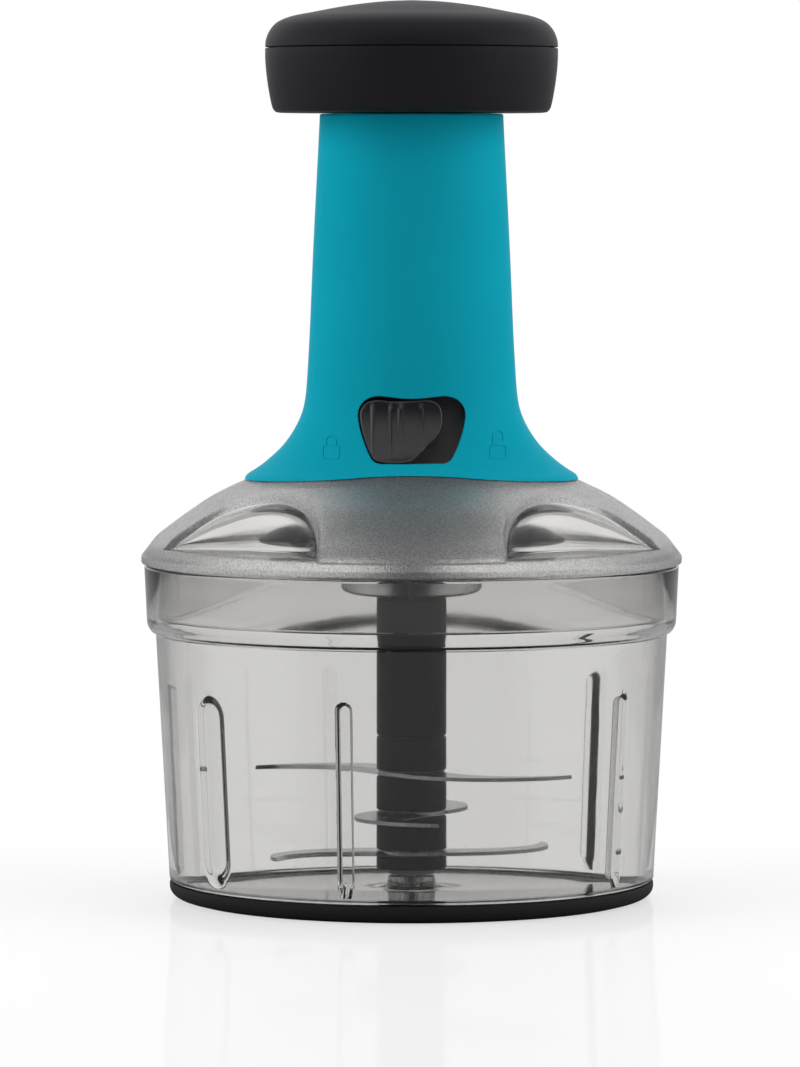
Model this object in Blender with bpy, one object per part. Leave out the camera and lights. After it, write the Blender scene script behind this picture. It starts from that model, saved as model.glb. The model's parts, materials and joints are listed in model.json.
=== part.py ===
"""Plunger food chopper: a clear bowl, a frosted lid with a pump handle and a stack of blades.

Metres, +Z up. The origin is the centre of the underside of the rubber base. The lock button faces -Y.
At rest the handle is pressed down and the lock button is at the left, as the object is stored.
"""

import math

import bmesh
import bpy
from mathutils import Matrix, Vector

# Gaps
SEAT_GAP = 0.0003        # between pieces that sit on or in each other
RUNNING_GAP = 0.0003     # round pieces that turn or slide
FIT_GAP = 0.0006         # round the lid's skirt
OVERRUN = 0.0020         # how far a cutter passes the face that it cuts

# Rubber base
BASE_HEIGHT = 0.0050
BASE_FLOOR = 0.0020
BASE_WALL = 0.0024
BASE_INSET = 0.0048      # the resting face is this much inside the base's rim

# Bowl
BOWL_FOOT_RADIUS = 0.0673
BOWL_TAPER = 0.0037      # how much the wall opens from the base to the shoulder
BOWL_WALL = 0.0022
BOWL_FLOOR = 0.0022
BOWL_CORNER = 0.0040     # inside, between floor and wall
WALL_HEIGHT = 0.0687     # from the base to the shoulder
SHOULDER_STEP = 0.0025   # the band stands out this much from the wall
SHOULDER_RISE = 0.0041
BAND_HEIGHT = 0.0151     # from the shoulder to the rim
BAND_TAPER = 0.0007
RIM_ROUNDING = 0.0006

# Ribs inside the bowl
RIB_COUNT = 5
RIB_RADIUS = 0.0024
RIB_TOP = 0.0600
RIB_START = 0.0095
RIB_FIRST_ANGLE = math.radians(-105.5)
WIDE_RIB_ANGLE = math.radians(-140.0)
WIDE_RIB_SHARE = 2.2     # width of the wide rib, as a share of a plain one's

# Pivot in the middle of the bowl
PIN_RADIUS = 0.0020
PIN_BOSS_RADIUS = 0.0070
PIN_BOSS_HEIGHT = 0.0042
PIN_DEPTH = 0.0034
PIN_LENGTH = 0.0112
WASHER_RADIUS = 0.0065
WASHER_HEIGHT = 0.0010

# Blade stack
BLADE_COUNT = 3
BLADE_LENGTH = 0.0580    # from the axis to the tip
BLADE_WIDTH = 0.0170
BLADE_THICKNESS = 0.0010
BLADE_SWEEP = math.radians(38.0)
COLUMN_RADIUS = 0.0097
BLADE_HUB_INSET = 0.0004
SHAFT_RADIUS = 0.0050
END_CAP_HEIGHT = 0.0036
SPACER_HEIGHT = 0.0091
SHAFT_PLUG = 0.0130      # how far the shaft reaches into the column
SHAFT_BORE_DEPTH = 0.0040
COLUMN_ROOM = 0.0030     # between the column and the drive socket
HEX_RADIUS = 0.0060
HEX_END_ROOM = 0.0009

# Lid
LID_OVERHANG = 0.0008    # the brim stands out this much over the bowl's rim
LID_WALL = 0.0022
SKIRT_WALL = 0.0018
SKIRT_DEPTH = 0.0149     # the skirt hangs this far below the rim of the bowl
BRIM_HEIGHT = 0.0022
BRIM_EDGE = 0.0008
DOME_TOP_INSET = 0.0083  # the dome's flat top begins this much inside the housing's foot
DOME_HEIGHT = 0.0248
RECESS_COUNT = 4
RECESS_RADIUS = 0.0527
RECESS_LAND = 0.0109     # between the housing's foot and a recess
RECESS_WALL = 0.0020
RECESS_FLOOR_DROP = 0.0006

# Drive cover, bearing block and splash collar under the lid
COLLAR_RADIUS = 0.0196
COLLAR_WALL = 0.0016
COLLAR_TOP_DROP = 0.0074
COLLAR_LENGTH = 0.0284
BLOCK_WALL = 0.0020
BLOCK_TUBE = 0.0130
BLOCK_FLANGE_RADIUS = 0.0335
BLOCK_FLANGE = 0.0020
BLOCK_PLATE = 0.0025
BLOCK_RISE = 0.0017      # the block stands this much above the lid
COVER_RADIUS = 0.0410
COVER_DROP = 0.0070
COVER_HUB_RISE = 0.0023
COVER_WALL = 0.0020
COVER_HUB_WALL = 0.0018
COVER_HUB_HEIGHT = 0.0060

# Handle housing
HOUSING_FLARE = 0.0210       # from the neck's radius to the foot's
HOUSING_WALL = 0.0022
HOUSING_DEPTH_SHARE = 0.94   # the housing is a little flatter front to back
HOUSING_TOP_ROUNDING = 0.0010
HOUSING_BOSS_RADIUS = 0.0036
HOUSING_BOSS_HEIGHT = 0.0077

# Screws that hold housing, lid and bearing block together
SCREW_COUNT = 4
SCREW_CIRCLE = 0.0285
SCREW_RADIUS = 0.0015
SCREW_HEAD_RADIUS = 0.0030
SCREW_HEAD_HEIGHT = 0.0021
SCREW_LENGTH = 0.0108
SCREW_END_ROOM = 0.0005

# Knob
KNOB_RADIUS = 0.0405
KNOB_HEIGHT = 0.0311
KNOB_WALL = 0.0022
KNOB_BASE_HEIGHT = 0.01785
KNOB_FLOOR = 0.0025
KNOB_LIP_HEIGHT = 0.0019
KNOB_LIP_WALL = 0.0017
KNOB_SCREW_COUNT = 3
KNOB_SCREW_CIRCLE = 0.0100
KNOB_SCREW_LENGTH = 0.0077

# Press sleeve and its guide
PRESS_TRAVEL = 0.0550
SLEEVE_RADIUS = 0.0180
SLEEVE_WALL = 0.0020
SLEEVE_TOP = 0.0060
SLEEVE_LEDGE = 0.0015
STOP_FLANGE = 0.0018
STOP_FLANGE_HEIGHT = 0.0030
STOP_ROOM = 0.0020
SLEEVE_FOOT_ROOM = 0.0067
GUIDE_HEIGHT = 0.0290
GUIDE_WALL = 0.0034

# Drive screw, nut, socket and spring
SCREW_CORE_RADIUS = 0.0060
GROOVE_DEPTH = 0.0011
GROOVE_COUNT = 4
LEAD = 0.0300            # rise of the thread in one turn
THREAD_TOP_ROOM = 0.0006
THREAD_GAP = 0.0006
JOURNAL_RADIUS = 0.0055
THRUST_RADIUS = 0.0092
THRUST_HEIGHT = 0.0015
THRUST_WASHER = 0.0007
SOCKET_RADIUS = 0.0095
SOCKET_SLEEVE = 0.0162   # socket above its hexagon, round the journal
SOCKET_WEB = 0.0037
SOCKET_DEPTH = 0.0136
HEX_GAP = 0.0004
DRIVE_PIN_RADIUS = 0.0012
DRIVE_PIN_END = 0.0010
NUT_HEIGHT = 0.0120
WIRE_RADIUS = 0.0007
SPRING_RADIUS = 0.0115
SPRING_TURNS = 9
SPRING_LENGTH = 0.0252   # pressed together, as at rest
SPRING_SEAT_HEIGHT = 0.0020
SPRING_SEAT_WALL = 0.0056

# Lock
WINDOW_HALF_WIDTH = 0.01465
WINDOW_HEIGHT = 0.0183
WINDOW_RISE = 0.0008     # from the top of the dome to the window
LOCK_TRAVEL = 0.0055
LOCK_GAP = 0.0004
BUTTON_END_ROOM = 0.0009
BUTTON_PROUD = 0.0008
GRIP_COUNT = 3
GRIP_PITCH = 0.0068
GRIP_WIDTH = 0.0046
GRIP_DEPTH = 0.0010
GRIP_FIRST_SHARE = -0.57  # middle of the first groove, as a share of the window's half width
GRIP_LOW_SHARE = 0.10     # ends of the grooves, as shares of the window's height
GRIP_HIGH_SHARE = 0.86
TRAY_DEPTH = 0.0042      # from the housing's inner face to the lock plate
TRAY_FLOOR = 0.0015
TRAY_MARGIN = 0.0020
STEM_WIDTH = 0.0050
STEM_HEIGHT = 0.0032
STEM_RISE = 0.0036
LATCH_WIDTH = 0.0070
LATCH_DEPTH = 0.0020
LATCH_HOOK_DEPTH = 0.0012
LATCH_ROOM = 0.0006      # between the latch and the sleeve's flange
LATCH_HOOK_HEIGHT = 0.0028
LATCH_DROP = 0.0012
LOCK_SCREW_RADIUS = 0.0012
LOCK_SCREW_HEAD = 0.0020
LOCK_SCREW_HEAD_HEIGHT = 0.0014
LOCK_SCREW_LENGTH = 0.0060

# How finely round pieces are divided
SHELL_SIDES = 36
TUBE_SIDES = 20
SMALL_SIDES = 10
HEX_SIDES = 6
THREAD_POINTS = 3        # points on each groove of the drive screw
THREAD_STEPS = 40
NUT_STEPS = 8
SPRING_POINTS = 9        # points in one turn of the spring
SPRING_BEVEL_STEPS = 1
SLAB_STEPS = 8
MERGE_DISTANCE = 0.000001
SHARP_ANGLE = math.radians(35.0)
AXIS_X, AXIS_Y, AXIS_Z = range(3)

# Outlines as shares of the piece's own radius and height steps
BAND_CURVE_SHARES = ((0.0, 0.0), (0.50, 0.18), (0.88, 0.56), (1.0, 1.0))
DOME_SHARES = (
    (0.967, 0.044), (0.929, 0.137), (0.879, 0.226), (0.802, 0.315), (0.640, 0.492),
    (0.453, 0.673), (0.228, 0.835), (0.0, 1.0),
)
HOUSING_SHARES = (
    (1.0, 0.0), (0.971, 0.0138), (0.838, 0.0325), (0.694, 0.055), (0.484, 0.0965), (0.346, 0.137),
    (0.251, 0.177), (0.198, 0.2185), (0.150, 0.3415), (0.088, 0.628), (0.0, 0.988),
)
KNOB_BASE_SHARES = (
    (0.900, 0.0), (0.940, 0.03), (0.952, 0.09), (0.976, 0.35), (0.993, 0.63), (1.0, 0.84),
)
KNOB_CAP_SHARES = (
    (1.0, 0.0), (0.997, 0.12), (0.985, 0.25), (0.965, 0.37), (0.925, 0.51), (0.842, 0.635),
    (0.672, 0.755), (0.467, 0.885), (0.235, 0.968), (0.0, 1.0),
)
WINDOW_SHARES = (
    (0.0, 0.962), (0.375, 0.984), (0.648, 1.0), (0.86, 0.94), (0.97, 0.83), (1.0, 0.727),
    (0.976, 0.557), (0.90, 0.339), (0.805, 0.153), (0.724, 0.044), (0.614, 0.0),
)
BUTTON_LEFT_SHARES = (
    (-0.600, 0.019), (-0.703, 0.060), (-0.785, 0.164), (-0.877, 0.344), (-0.952, 0.563),
    (-0.976, 0.727), (-0.949, 0.814), (-0.846, 0.907), (-0.642, 0.943),
)
BUTTON_RIGHT_SHARES = (
    (0.85, 0.943), (0.955, 0.896), (1.0, 0.787), (1.0, 0.557), (0.94, 0.393),
    (0.82, 0.246), (0.72, 0.115), (0.60, 0.019),
)
BLADE_SHARES = (
    (0.0, 1.0), (0.15, 0.98), (0.35, 0.92), (0.55, 0.80), (0.75, 0.62), (0.90, 0.40), (1.0, 0.12),
)

# Heights, from the floor up
BASE_TOP = BASE_HEIGHT
BOWL_UNDERSIDE = BASE_FLOOR + SEAT_GAP
BOWL_FLOOR_TOP = BOWL_UNDERSIDE + BOWL_FLOOR
SHOULDER_Z = BASE_HEIGHT + WALL_HEIGHT
BAND_Z = SHOULDER_Z + SHOULDER_RISE
RIM_Z = BAND_Z + BAND_HEIGHT
BOSS_TOP = BOWL_FLOOR_TOP + PIN_BOSS_HEIGHT
WASHER_Z = BOSS_TOP + SEAT_GAP
END_CAP_Z = WASHER_Z + WASHER_HEIGHT + RUNNING_GAP
STACK_Z = END_CAP_Z + END_CAP_HEIGHT
LEVEL_STEP = BLADE_THICKNESS + SPACER_HEIGHT + 2 * SEAT_GAP
COLUMN_Z = STACK_Z + BLADE_COUNT * LEVEL_STEP + SEAT_GAP
SHAFT_Z = STACK_Z + SEAT_GAP
SHAFT_TOP = COLUMN_Z + SHAFT_PLUG
BRIM_Z = RIM_Z + SEAT_GAP
DOME_Z = BRIM_Z + BRIM_HEIGHT
LID_TOP = DOME_Z + DOME_HEIGHT
LID_CEILING = LID_TOP - LID_WALL
SKIRT_Z = BRIM_Z - SKIRT_DEPTH
RECESS_Z = DOME_Z + RECESS_FLOOR_DROP
FLANGE_Z = LID_CEILING - SEAT_GAP - BLOCK_FLANGE
BLOCK_TOP = LID_TOP + BLOCK_RISE
PLATE_Z = BLOCK_TOP - BLOCK_PLATE
BLOCK_Z = FLANGE_Z - BLOCK_TUBE
COLLAR_TOP = PLATE_Z - COLLAR_TOP_DROP
COLLAR_Z = COLLAR_TOP - COLLAR_LENGTH
COVER_HUB_Z = BLOCK_Z + COVER_HUB_RISE
COVER_Z = COVER_HUB_Z - COVER_DROP
SOCKET_TOP = PLATE_Z - SEAT_GAP
SOCKET_HOLE_Z = SOCKET_TOP - SOCKET_SLEEVE
SOCKET_BORE_TOP = SOCKET_HOLE_Z - SOCKET_WEB
SOCKET_Z = SOCKET_BORE_TOP - SOCKET_DEPTH
HEX_Z = SOCKET_Z - COLUMN_ROOM
HEX_TOP = SOCKET_BORE_TOP - HEX_END_ROOM

# Radii that follow from the sizes
BAND_RADIUS = BOWL_FOOT_RADIUS + BOWL_TAPER + SHOULDER_STEP
RIM_RADIUS = BAND_RADIUS + BAND_TAPER
LID_RADIUS = RIM_RADIUS + LID_OVERHANG
HOUSING_NECK_INSIDE = (SLEEVE_RADIUS + RUNNING_GAP + GUIDE_WALL + SEAT_GAP) / HOUSING_DEPTH_SHARE
HOUSING_NECK_RADIUS = HOUSING_NECK_INSIDE + HOUSING_WALL
HOUSING_FOOT_RADIUS = HOUSING_NECK_RADIUS + HOUSING_FLARE
DOME_TOP_RADIUS = HOUSING_FOOT_RADIUS - DOME_TOP_INSET
RECESS_CENTRE = HOUSING_FOOT_RADIUS + RECESS_LAND + RECESS_RADIUS
SKIRT_RADIUS = BAND_RADIUS - BOWL_WALL - FIT_GAP
SKIRT_INSIDE = SKIRT_RADIUS - SKIRT_WALL
BOWL_PLUG_RADIUS = BOWL_FOOT_RADIUS - BASE_WALL - SEAT_GAP
BLOCK_TUBE_INSIDE = COLLAR_RADIUS + SEAT_GAP
BLOCK_TUBE_RADIUS = BLOCK_TUBE_INSIDE + BLOCK_WALL
LID_HOLE_RADIUS = BLOCK_TUBE_RADIUS + SEAT_GAP
JOURNAL_BORE = JOURNAL_RADIUS + RUNNING_GAP
SLEEVE_BORE = SLEEVE_RADIUS - SLEEVE_WALL
SLEEVE_UPPER_BORE = SLEEVE_BORE - SLEEVE_LEDGE
NUT_RADIUS = SLEEVE_BORE - SEAT_GAP
SCREW_HOLE_RADIUS = SCREW_RADIUS + SEAT_GAP


def stepped(shares, radius, radius_step, height, height_step):
    """Points of an outline whose shares count from radius by radius_step, and from height by height_step."""
    return [(radius + across * radius_step, height + up * height_step) for across, up in shares]


def inset(outline, distance):
    """The outline moved to the left of its direction of travel by distance."""
    points = [Vector(point) for point in outline]
    moved = []
    for index, point in enumerate(points):
        before = points[max(index - 1, 0)]
        after = points[min(index + 1, len(points) - 1)]
        incoming = (point - before if index else after - point).normalized()
        outgoing = (after - point if index < len(points) - 1 else incoming).normalized()
        side = Vector((-incoming.y - outgoing.y, incoming.x + outgoing.x)).normalized()
        stretch = max(side.dot(Vector((-incoming.y, incoming.x))), math.cos(math.radians(60.0)))
        moved.append(tuple(point + side * distance / stretch))
    return moved


def value_at(pairs, key):
    """The second value of the pairs at the first value key, on straight lines between them."""
    ordered = sorted(pairs)
    for (low, low_value), (high, high_value) in zip(ordered, ordered[1:]):
        if low <= key <= high and high > low:
            return low_value + (high_value - low_value) * (key - low) / (high - low)
    return ordered[0][1] if key < ordered[0][0] else ordered[-1][1]


def radius_at(outline, height):
    """The outline's radius at a height."""
    return value_at([(up, radius) for radius, up in outline], height)


def finish(name, colour, roughness, metallic=0.0, transmission=0.0):
    """A plain Principled material."""
    material = bpy.data.materials.new(name)
    material.use_nodes = True
    shader = material.node_tree.nodes["Principled BSDF"]
    shader.inputs["Base Color"].default_value = (*colour, 1.0)
    shader.inputs["Roughness"].default_value = roughness
    shader.inputs["Metallic"].default_value = metallic
    shader.inputs["Transmission Weight"].default_value = transmission
    material.diffuse_color = (*colour, 1.0)
    return material


def piece(name, mesh, material, parent=None):
    """An object of the scene, with its parent's origin if it has one."""
    item = bpy.data.objects.new(name, mesh)
    bpy.context.scene.collection.objects.link(item)
    if material:
        mesh.materials.clear()
        mesh.materials.append(material)
    if parent:
        item.parent = parent
        item.matrix_parent_inverse = Matrix.Translation(parent.location).inverted()
    return item


def to_mesh(shape, name):
    """A mesh from a bmesh, its doubles merged and its faces turned outwards."""
    bmesh.ops.remove_doubles(shape, verts=shape.verts, dist=MERGE_DISTANCE)
    bmesh.ops.recalc_face_normals(shape, faces=shape.faces)
    mesh = bpy.data.meshes.new(name)
    shape.to_mesh(mesh)
    shape.free()
    mesh.shade_smooth()
    mesh.set_sharp_from_angle(angle=SHARP_ANGLE)
    return mesh


def turned(name, outline, sides, ring=False):
    """A solid of revolution about Z. A ring's outline closes on itself; a plain one ends on the axis."""
    shape = bmesh.new()
    points = [shape.verts.new((radius, 0.0, height)) for radius, height in outline]
    edges = [shape.edges.new(pair) for pair in zip(points, points[1:])]
    if ring:
        edges.append(shape.edges.new((points[-1], points[0])))
    bmesh.ops.spin(
        shape, geom=points + edges, cent=(0.0, 0.0, 0.0), axis=(0.0, 0.0, 1.0),
        angle=math.tau, steps=sides, use_merge=True,
    )
    return to_mesh(shape, name)


def tube_outline(inner, outer, bottom, top):
    """The outline of a plain ring."""
    return [(inner, bottom), (outer, bottom), (outer, top), (inner, top)]


def rod_outline(radius, bottom, top):
    """The outline of a plain rod."""
    return [(0.0, bottom), (radius, bottom), (radius, top), (0.0, top)]


def extruded(name, outline, start, end, axis):
    """A prism. Its outline's two values lie along the two other axes, in X, Y, Z order."""
    shape = bmesh.new()
    corners = []
    for first, second in outline:
        corner = [first, second]
        corner.insert(axis, start)
        corners.append(shape.verts.new(corner))
    face = shape.faces.new(corners)
    grown = bmesh.ops.extrude_face_region(shape, geom=[face])["geom"]
    shift = Vector((0.0, 0.0, 0.0))
    shift[axis] = end - start
    bmesh.ops.translate(shape, vec=shift, verts=[v for v in grown if isinstance(v, bmesh.types.BMVert)])
    return to_mesh(shape, name)


def box(name, low, high):
    """A box between two corners."""
    outline = [(low[0], low[1]), (high[0], low[1]), (high[0], high[1]), (low[0], high[1])]
    return extruded(name, outline, low[2], high[2], AXIS_Z)


def moved(mesh, offset=(0.0, 0.0, 0.0), angle=0.0):
    """The mesh turned about Z by angle after it is shifted by offset."""
    mesh.transform(Matrix.Rotation(angle, 4, "Z") @ Matrix.Translation(offset))
    return mesh


def lying(mesh, place):
    """The mesh's own axis laid along -Y, then shifted to a place."""
    mesh.transform(Matrix.Translation(place) @ Matrix.Rotation(math.radians(90.0), 4, "X"))
    return mesh


def flattened(mesh):
    """The mesh squeezed front to back as the housing is."""
    mesh.transform(Matrix.Diagonal((1.0, HOUSING_DEPTH_SHARE, 1.0, 1.0)))
    return mesh


def combine(item, mesh, operation="DIFFERENCE"):
    """Cut a tool's shape out of the item, add it or keep what both share. Returns the tool's object."""
    tool = piece(f"{item.name}.tool", mesh, None)
    tool.hide_render = True
    tool.display_type = "WIRE"
    step = item.modifiers.new(mesh.name, "BOOLEAN")
    step.operation = operation
    step.solver = "EXACT"
    step.object = tool
    return tool


def around(count, first_angle=0.0):
    """Even angles round the axis."""
    return [first_angle + math.tau * index / count for index in range(count)]


# The outlines that several pieces follow

def dome_outline():
    """The lid's dome, from the brim to the edge of its flat top."""
    reach = LID_RADIUS - DOME_TOP_RADIUS
    return stepped(DOME_SHARES, DOME_TOP_RADIUS, reach, DOME_Z, DOME_HEIGHT)


def housing_foot():
    """Height at which the housing's widest point meets the dome."""
    return value_at(dome_outline(), HOUSING_FOOT_RADIUS)


HOUSING_Z = housing_foot()
SLEEVE_Z = BLOCK_TOP + SLEEVE_FOOT_ROOM
GUIDE_Z = SLEEVE_Z + STOP_FLANGE_HEIGHT + PRESS_TRAVEL + STOP_ROOM
HOUSING_TOP = GUIDE_Z + GUIDE_HEIGHT


def housing_outline():
    """The housing's outer side, from the foot up."""
    return stepped(HOUSING_SHARES, HOUSING_NECK_RADIUS, HOUSING_FLARE, HOUSING_Z, HOUSING_TOP - HOUSING_Z)


def housing_inside(gap=0.0):
    """The housing's inner side, or a surface that keeps a gap to it."""
    return inset(housing_outline(), HOUSING_WALL + gap)


# Heights of the pieces in the handle
KNOB_Z = HOUSING_TOP + SEAT_GAP
KNOB_TOP = KNOB_Z + KNOB_HEIGHT
KNOB_SEAM = KNOB_Z + KNOB_BASE_HEIGHT
SLEEVE_SOLID_Z = HOUSING_TOP - SLEEVE_TOP
THRUST_WASHER_Z = BLOCK_TOP + SEAT_GAP
THRUST_Z = THRUST_WASHER_Z + THRUST_WASHER + RUNNING_GAP
THREAD_Z = THRUST_Z + THRUST_HEIGHT
THREAD_TOP = SLEEVE_SOLID_Z - THREAD_TOP_ROOM
SPRING_Z = THRUST_WASHER_Z + SPRING_SEAT_HEIGHT + SEAT_GAP
SPRING_TOP = SPRING_Z + SPRING_LENGTH
NUT_Z = SPRING_TOP + SEAT_GAP
LEDGE_Z = NUT_Z + NUT_HEIGHT + SEAT_GAP
WINDOW_Z = LID_TOP + WINDOW_RISE
STEM_Z = WINDOW_Z + STEM_RISE


def build_base(black):
    """Rubber cup round the foot of the bowl."""
    top_inside = BOWL_FOOT_RADIUS - BASE_WALL
    outline = [
        (0.0, 0.0),
        (BOWL_FOOT_RADIUS - BASE_INSET, 0.0),
        (BOWL_FOOT_RADIUS - BASE_INSET / 3, BASE_HEIGHT / 6),
        (BOWL_FOOT_RADIUS, BASE_HEIGHT / 2),
        (BOWL_FOOT_RADIUS, BASE_TOP),
        (top_inside, BASE_TOP),
        (top_inside, BASE_FLOOR),
        (0.0, BASE_FLOOR),
    ]
    piece("non_slip_base", turned("non_slip_base", outline, SHELL_SIDES), black)


def rib_mesh(width_share):
    """One upright rib on the bowl's wall, round at its top, leaning out as the wall does."""
    length = RIB_TOP - RIB_START
    crown = RIB_RADIUS / 2
    outline = [
        (0.0, 0.0), (RIB_RADIUS, 0.0), (RIB_RADIUS, length - RIB_RADIUS),
        (RIB_RADIUS * math.cos(math.radians(40.0)), length - crown), (0.0, length),
    ]
    mesh = turned("rib", outline, SMALL_SIDES)
    lean = math.atan2(BOWL_TAPER, WALL_HEIGHT)
    stand = BOWL_FOOT_RADIUS - BOWL_WALL + BOWL_TAPER * (RIB_START - BASE_TOP) / WALL_HEIGHT - RIB_RADIUS / 4
    mesh.transform(Matrix.Diagonal((1.0, width_share, 1.0, 1.0)))
    mesh.transform(Matrix.Translation((stand, 0.0, RIB_START)) @ Matrix.Rotation(lean, 4, "Y"))
    return mesh


def build_bowl(clear, steel):
    """Bowl with a stepped rim band, upright ribs and the pivot pin for the blades."""
    foot, wall = BOWL_FOOT_RADIUS, BOWL_WALL
    shoulder = foot + BOWL_TAPER
    inner_foot = foot - wall + BOWL_TAPER * BOWL_CORNER / WALL_HEIGHT
    curve = stepped(BAND_CURVE_SHARES, shoulder, SHOULDER_STEP, SHOULDER_Z, SHOULDER_RISE)
    inner_curve = stepped(
        BAND_CURVE_SHARES, shoulder - wall, SHOULDER_STEP, SHOULDER_Z + wall / 2, SHOULDER_RISE,
    )
    outline = [
        (0.0, BOWL_UNDERSIDE),
        (BOWL_PLUG_RADIUS, BOWL_UNDERSIDE),
        (BOWL_PLUG_RADIUS, BASE_TOP + SEAT_GAP),
        (foot, BASE_TOP + SEAT_GAP),
        *curve,
        (RIM_RADIUS, RIM_Z - RIM_ROUNDING),
        (RIM_RADIUS - RIM_ROUNDING, RIM_Z),
        (RIM_RADIUS - wall, RIM_Z),
        *reversed(inner_curve),
        (inner_foot, BOWL_FLOOR_TOP + BOWL_CORNER),
        (foot - wall - BOWL_CORNER / 3, BOWL_FLOOR_TOP + BOWL_CORNER / 3),
        (foot - wall - BOWL_CORNER, BOWL_FLOOR_TOP),
        (PIN_BOSS_RADIUS, BOWL_FLOOR_TOP),
        (PIN_BOSS_RADIUS - RIM_ROUNDING, BOSS_TOP),
        (PIN_RADIUS + SEAT_GAP, BOSS_TOP),
        (PIN_RADIUS + SEAT_GAP, BOSS_TOP - PIN_DEPTH),
        (0.0, BOSS_TOP - PIN_DEPTH),
    ]
    bowl = piece("bowl", turned("bowl", outline, SHELL_SIDES), clear)
    for angle in around(RIB_COUNT, RIB_FIRST_ANGLE):
        combine(bowl, moved(rib_mesh(1.0), angle=angle), "UNION")
    combine(bowl, moved(rib_mesh(WIDE_RIB_SHARE), angle=WIDE_RIB_ANGLE), "UNION")
    pin_z = BOSS_TOP - PIN_DEPTH + SEAT_GAP
    pin = [
        (0.0, pin_z), (PIN_RADIUS, pin_z), (PIN_RADIUS, pin_z + PIN_LENGTH - PIN_RADIUS / 2),
        (PIN_RADIUS / 2, pin_z + PIN_LENGTH), (0.0, pin_z + PIN_LENGTH),
    ]
    piece("pivot_pin", turned("pivot_pin", pin, SMALL_SIDES), steel)


def blade_wing():
    """Half of a blade: a curved wing that narrows to its tip, as one closed strip."""
    shape = bmesh.new()
    root = COLUMN_RADIUS - BLADE_HUB_INSET - BLADE_WIDTH / 4
    rows = []
    for along, width_share in BLADE_SHARES:
        reach = root + (BLADE_LENGTH - root) * along
        turn = Matrix.Rotation(BLADE_SWEEP * along * along, 4, "Z")
        half_width = BLADE_WIDTH * width_share / 2
        row = []
        for side, height in ((-1, 0.0), (1, 0.0), (1, BLADE_THICKNESS), (-1, BLADE_THICKNESS)):
            row.append(shape.verts.new(turn @ Vector((reach, side * half_width, height))))
        rows.append(row)
    for row, following in zip(rows, rows[1:]):
        for index in range(len(row)):
            after = (index + 1) % len(row)
            shape.faces.new((row[index], following[index], following[after], row[after]))
    shape.faces.new(rows[0])
    shape.faces.new(rows[-1])
    return to_mesh(shape, "wing")


def build_blades(steel, black, axis):
    """Blades, spacers, end cap and inner shaft of the blade stack."""
    shaft_hole = SHAFT_RADIUS + SEAT_GAP
    pin_hole = PIN_RADIUS + RUNNING_GAP
    cap = [
        (pin_hole, END_CAP_Z), (COLUMN_RADIUS - BLADE_THICKNESS, END_CAP_Z),
        (COLUMN_RADIUS, END_CAP_Z + BLADE_THICKNESS), (COLUMN_RADIUS, STACK_Z), (pin_hole, STACK_Z),
    ]
    piece("blade_end_cap", turned("blade_end_cap", cap, TUBE_SIDES, ring=True), black, axis)
    for level in range(BLADE_COUNT):
        blade_z = STACK_Z + SEAT_GAP + level * LEVEL_STEP
        hub = tube_outline(shaft_hole, COLUMN_RADIUS - BLADE_HUB_INSET, 0.0, BLADE_THICKNESS)
        blade = piece(f"blade_{level + 1}", turned("hub", hub, TUBE_SIDES, ring=True), steel, axis)
        for angle in around(2):
            combine(blade, moved(blade_wing(), angle=angle), "UNION").parent = blade
        blade.location = (0.0, 0.0, blade_z)
        blade.rotation_euler = (0.0, 0.0, math.pi * level / BLADE_COUNT)
        spacer_z = blade_z + BLADE_THICKNESS + SEAT_GAP
        spacer = tube_outline(shaft_hole, COLUMN_RADIUS, spacer_z, spacer_z + SPACER_HEIGHT)
        name = f"blade_spacer_{level + 1}"
        piece(name, turned(name, spacer, TUBE_SIDES, ring=True), black, axis)
    shaft = [
        (0.0, SHAFT_Z + SHAFT_BORE_DEPTH), (pin_hole, SHAFT_Z + SHAFT_BORE_DEPTH),
        (pin_hole, SHAFT_Z), (SHAFT_RADIUS, SHAFT_Z), (SHAFT_RADIUS, SHAFT_TOP), (0.0, SHAFT_TOP),
    ]
    piece("blade_shaft", turned("blade_shaft", shaft, SMALL_SIDES), steel, axis)


def build_column(black, axis):
    """Upper column of the blade stack, with the hexagon that the drive socket takes."""
    hole_top = SHAFT_TOP + SEAT_GAP
    hole = SHAFT_RADIUS + SEAT_GAP
    outline = [
        (0.0, hole_top), (hole, hole_top), (hole, COLUMN_Z), (COLUMN_RADIUS, COLUMN_Z),
        (COLUMN_RADIUS, HEX_Z - BLADE_THICKNESS), (COLUMN_RADIUS - BLADE_THICKNESS, HEX_Z), (0.0, HEX_Z),
    ]
    column = piece("blade_column", turned("blade_column", outline, TUBE_SIDES), black, axis)
    head = [
        (0.0, HEX_Z - OVERRUN), (HEX_RADIUS, HEX_Z - OVERRUN), (HEX_RADIUS, HEX_TOP - BLADE_THICKNESS),
        (HEX_RADIUS - BLADE_THICKNESS, HEX_TOP), (0.0, HEX_TOP),
    ]
    combine(column, turned("hexagon", head, HEX_SIDES), "UNION")


def dome_seat():
    """The dome grown by the seat gap, to cut what stands on the lid."""
    grown = inset(dome_outline(), -SEAT_GAP)
    outline = [(0.0, BRIM_Z), (LID_RADIUS, BRIM_Z), *grown, (0.0, LID_TOP + SEAT_GAP)]
    return turned("dome_seat", outline, SHELL_SIDES)


def recess_mesh(radius, floor_z):
    """The upright cylinders that scoop the finger recesses out of the dome."""
    shape = bmesh.new()
    for angle in around(RECESS_COUNT, math.pi / RECESS_COUNT):
        top = LID_TOP + OVERRUN
        cylinder = turned("scoop", rod_outline(radius, floor_z, top), SHELL_SIDES)
        shape.from_mesh(moved(cylinder, (RECESS_CENTRE, 0.0, 0.0), angle))
    return to_mesh(shape, "recesses")


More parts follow.
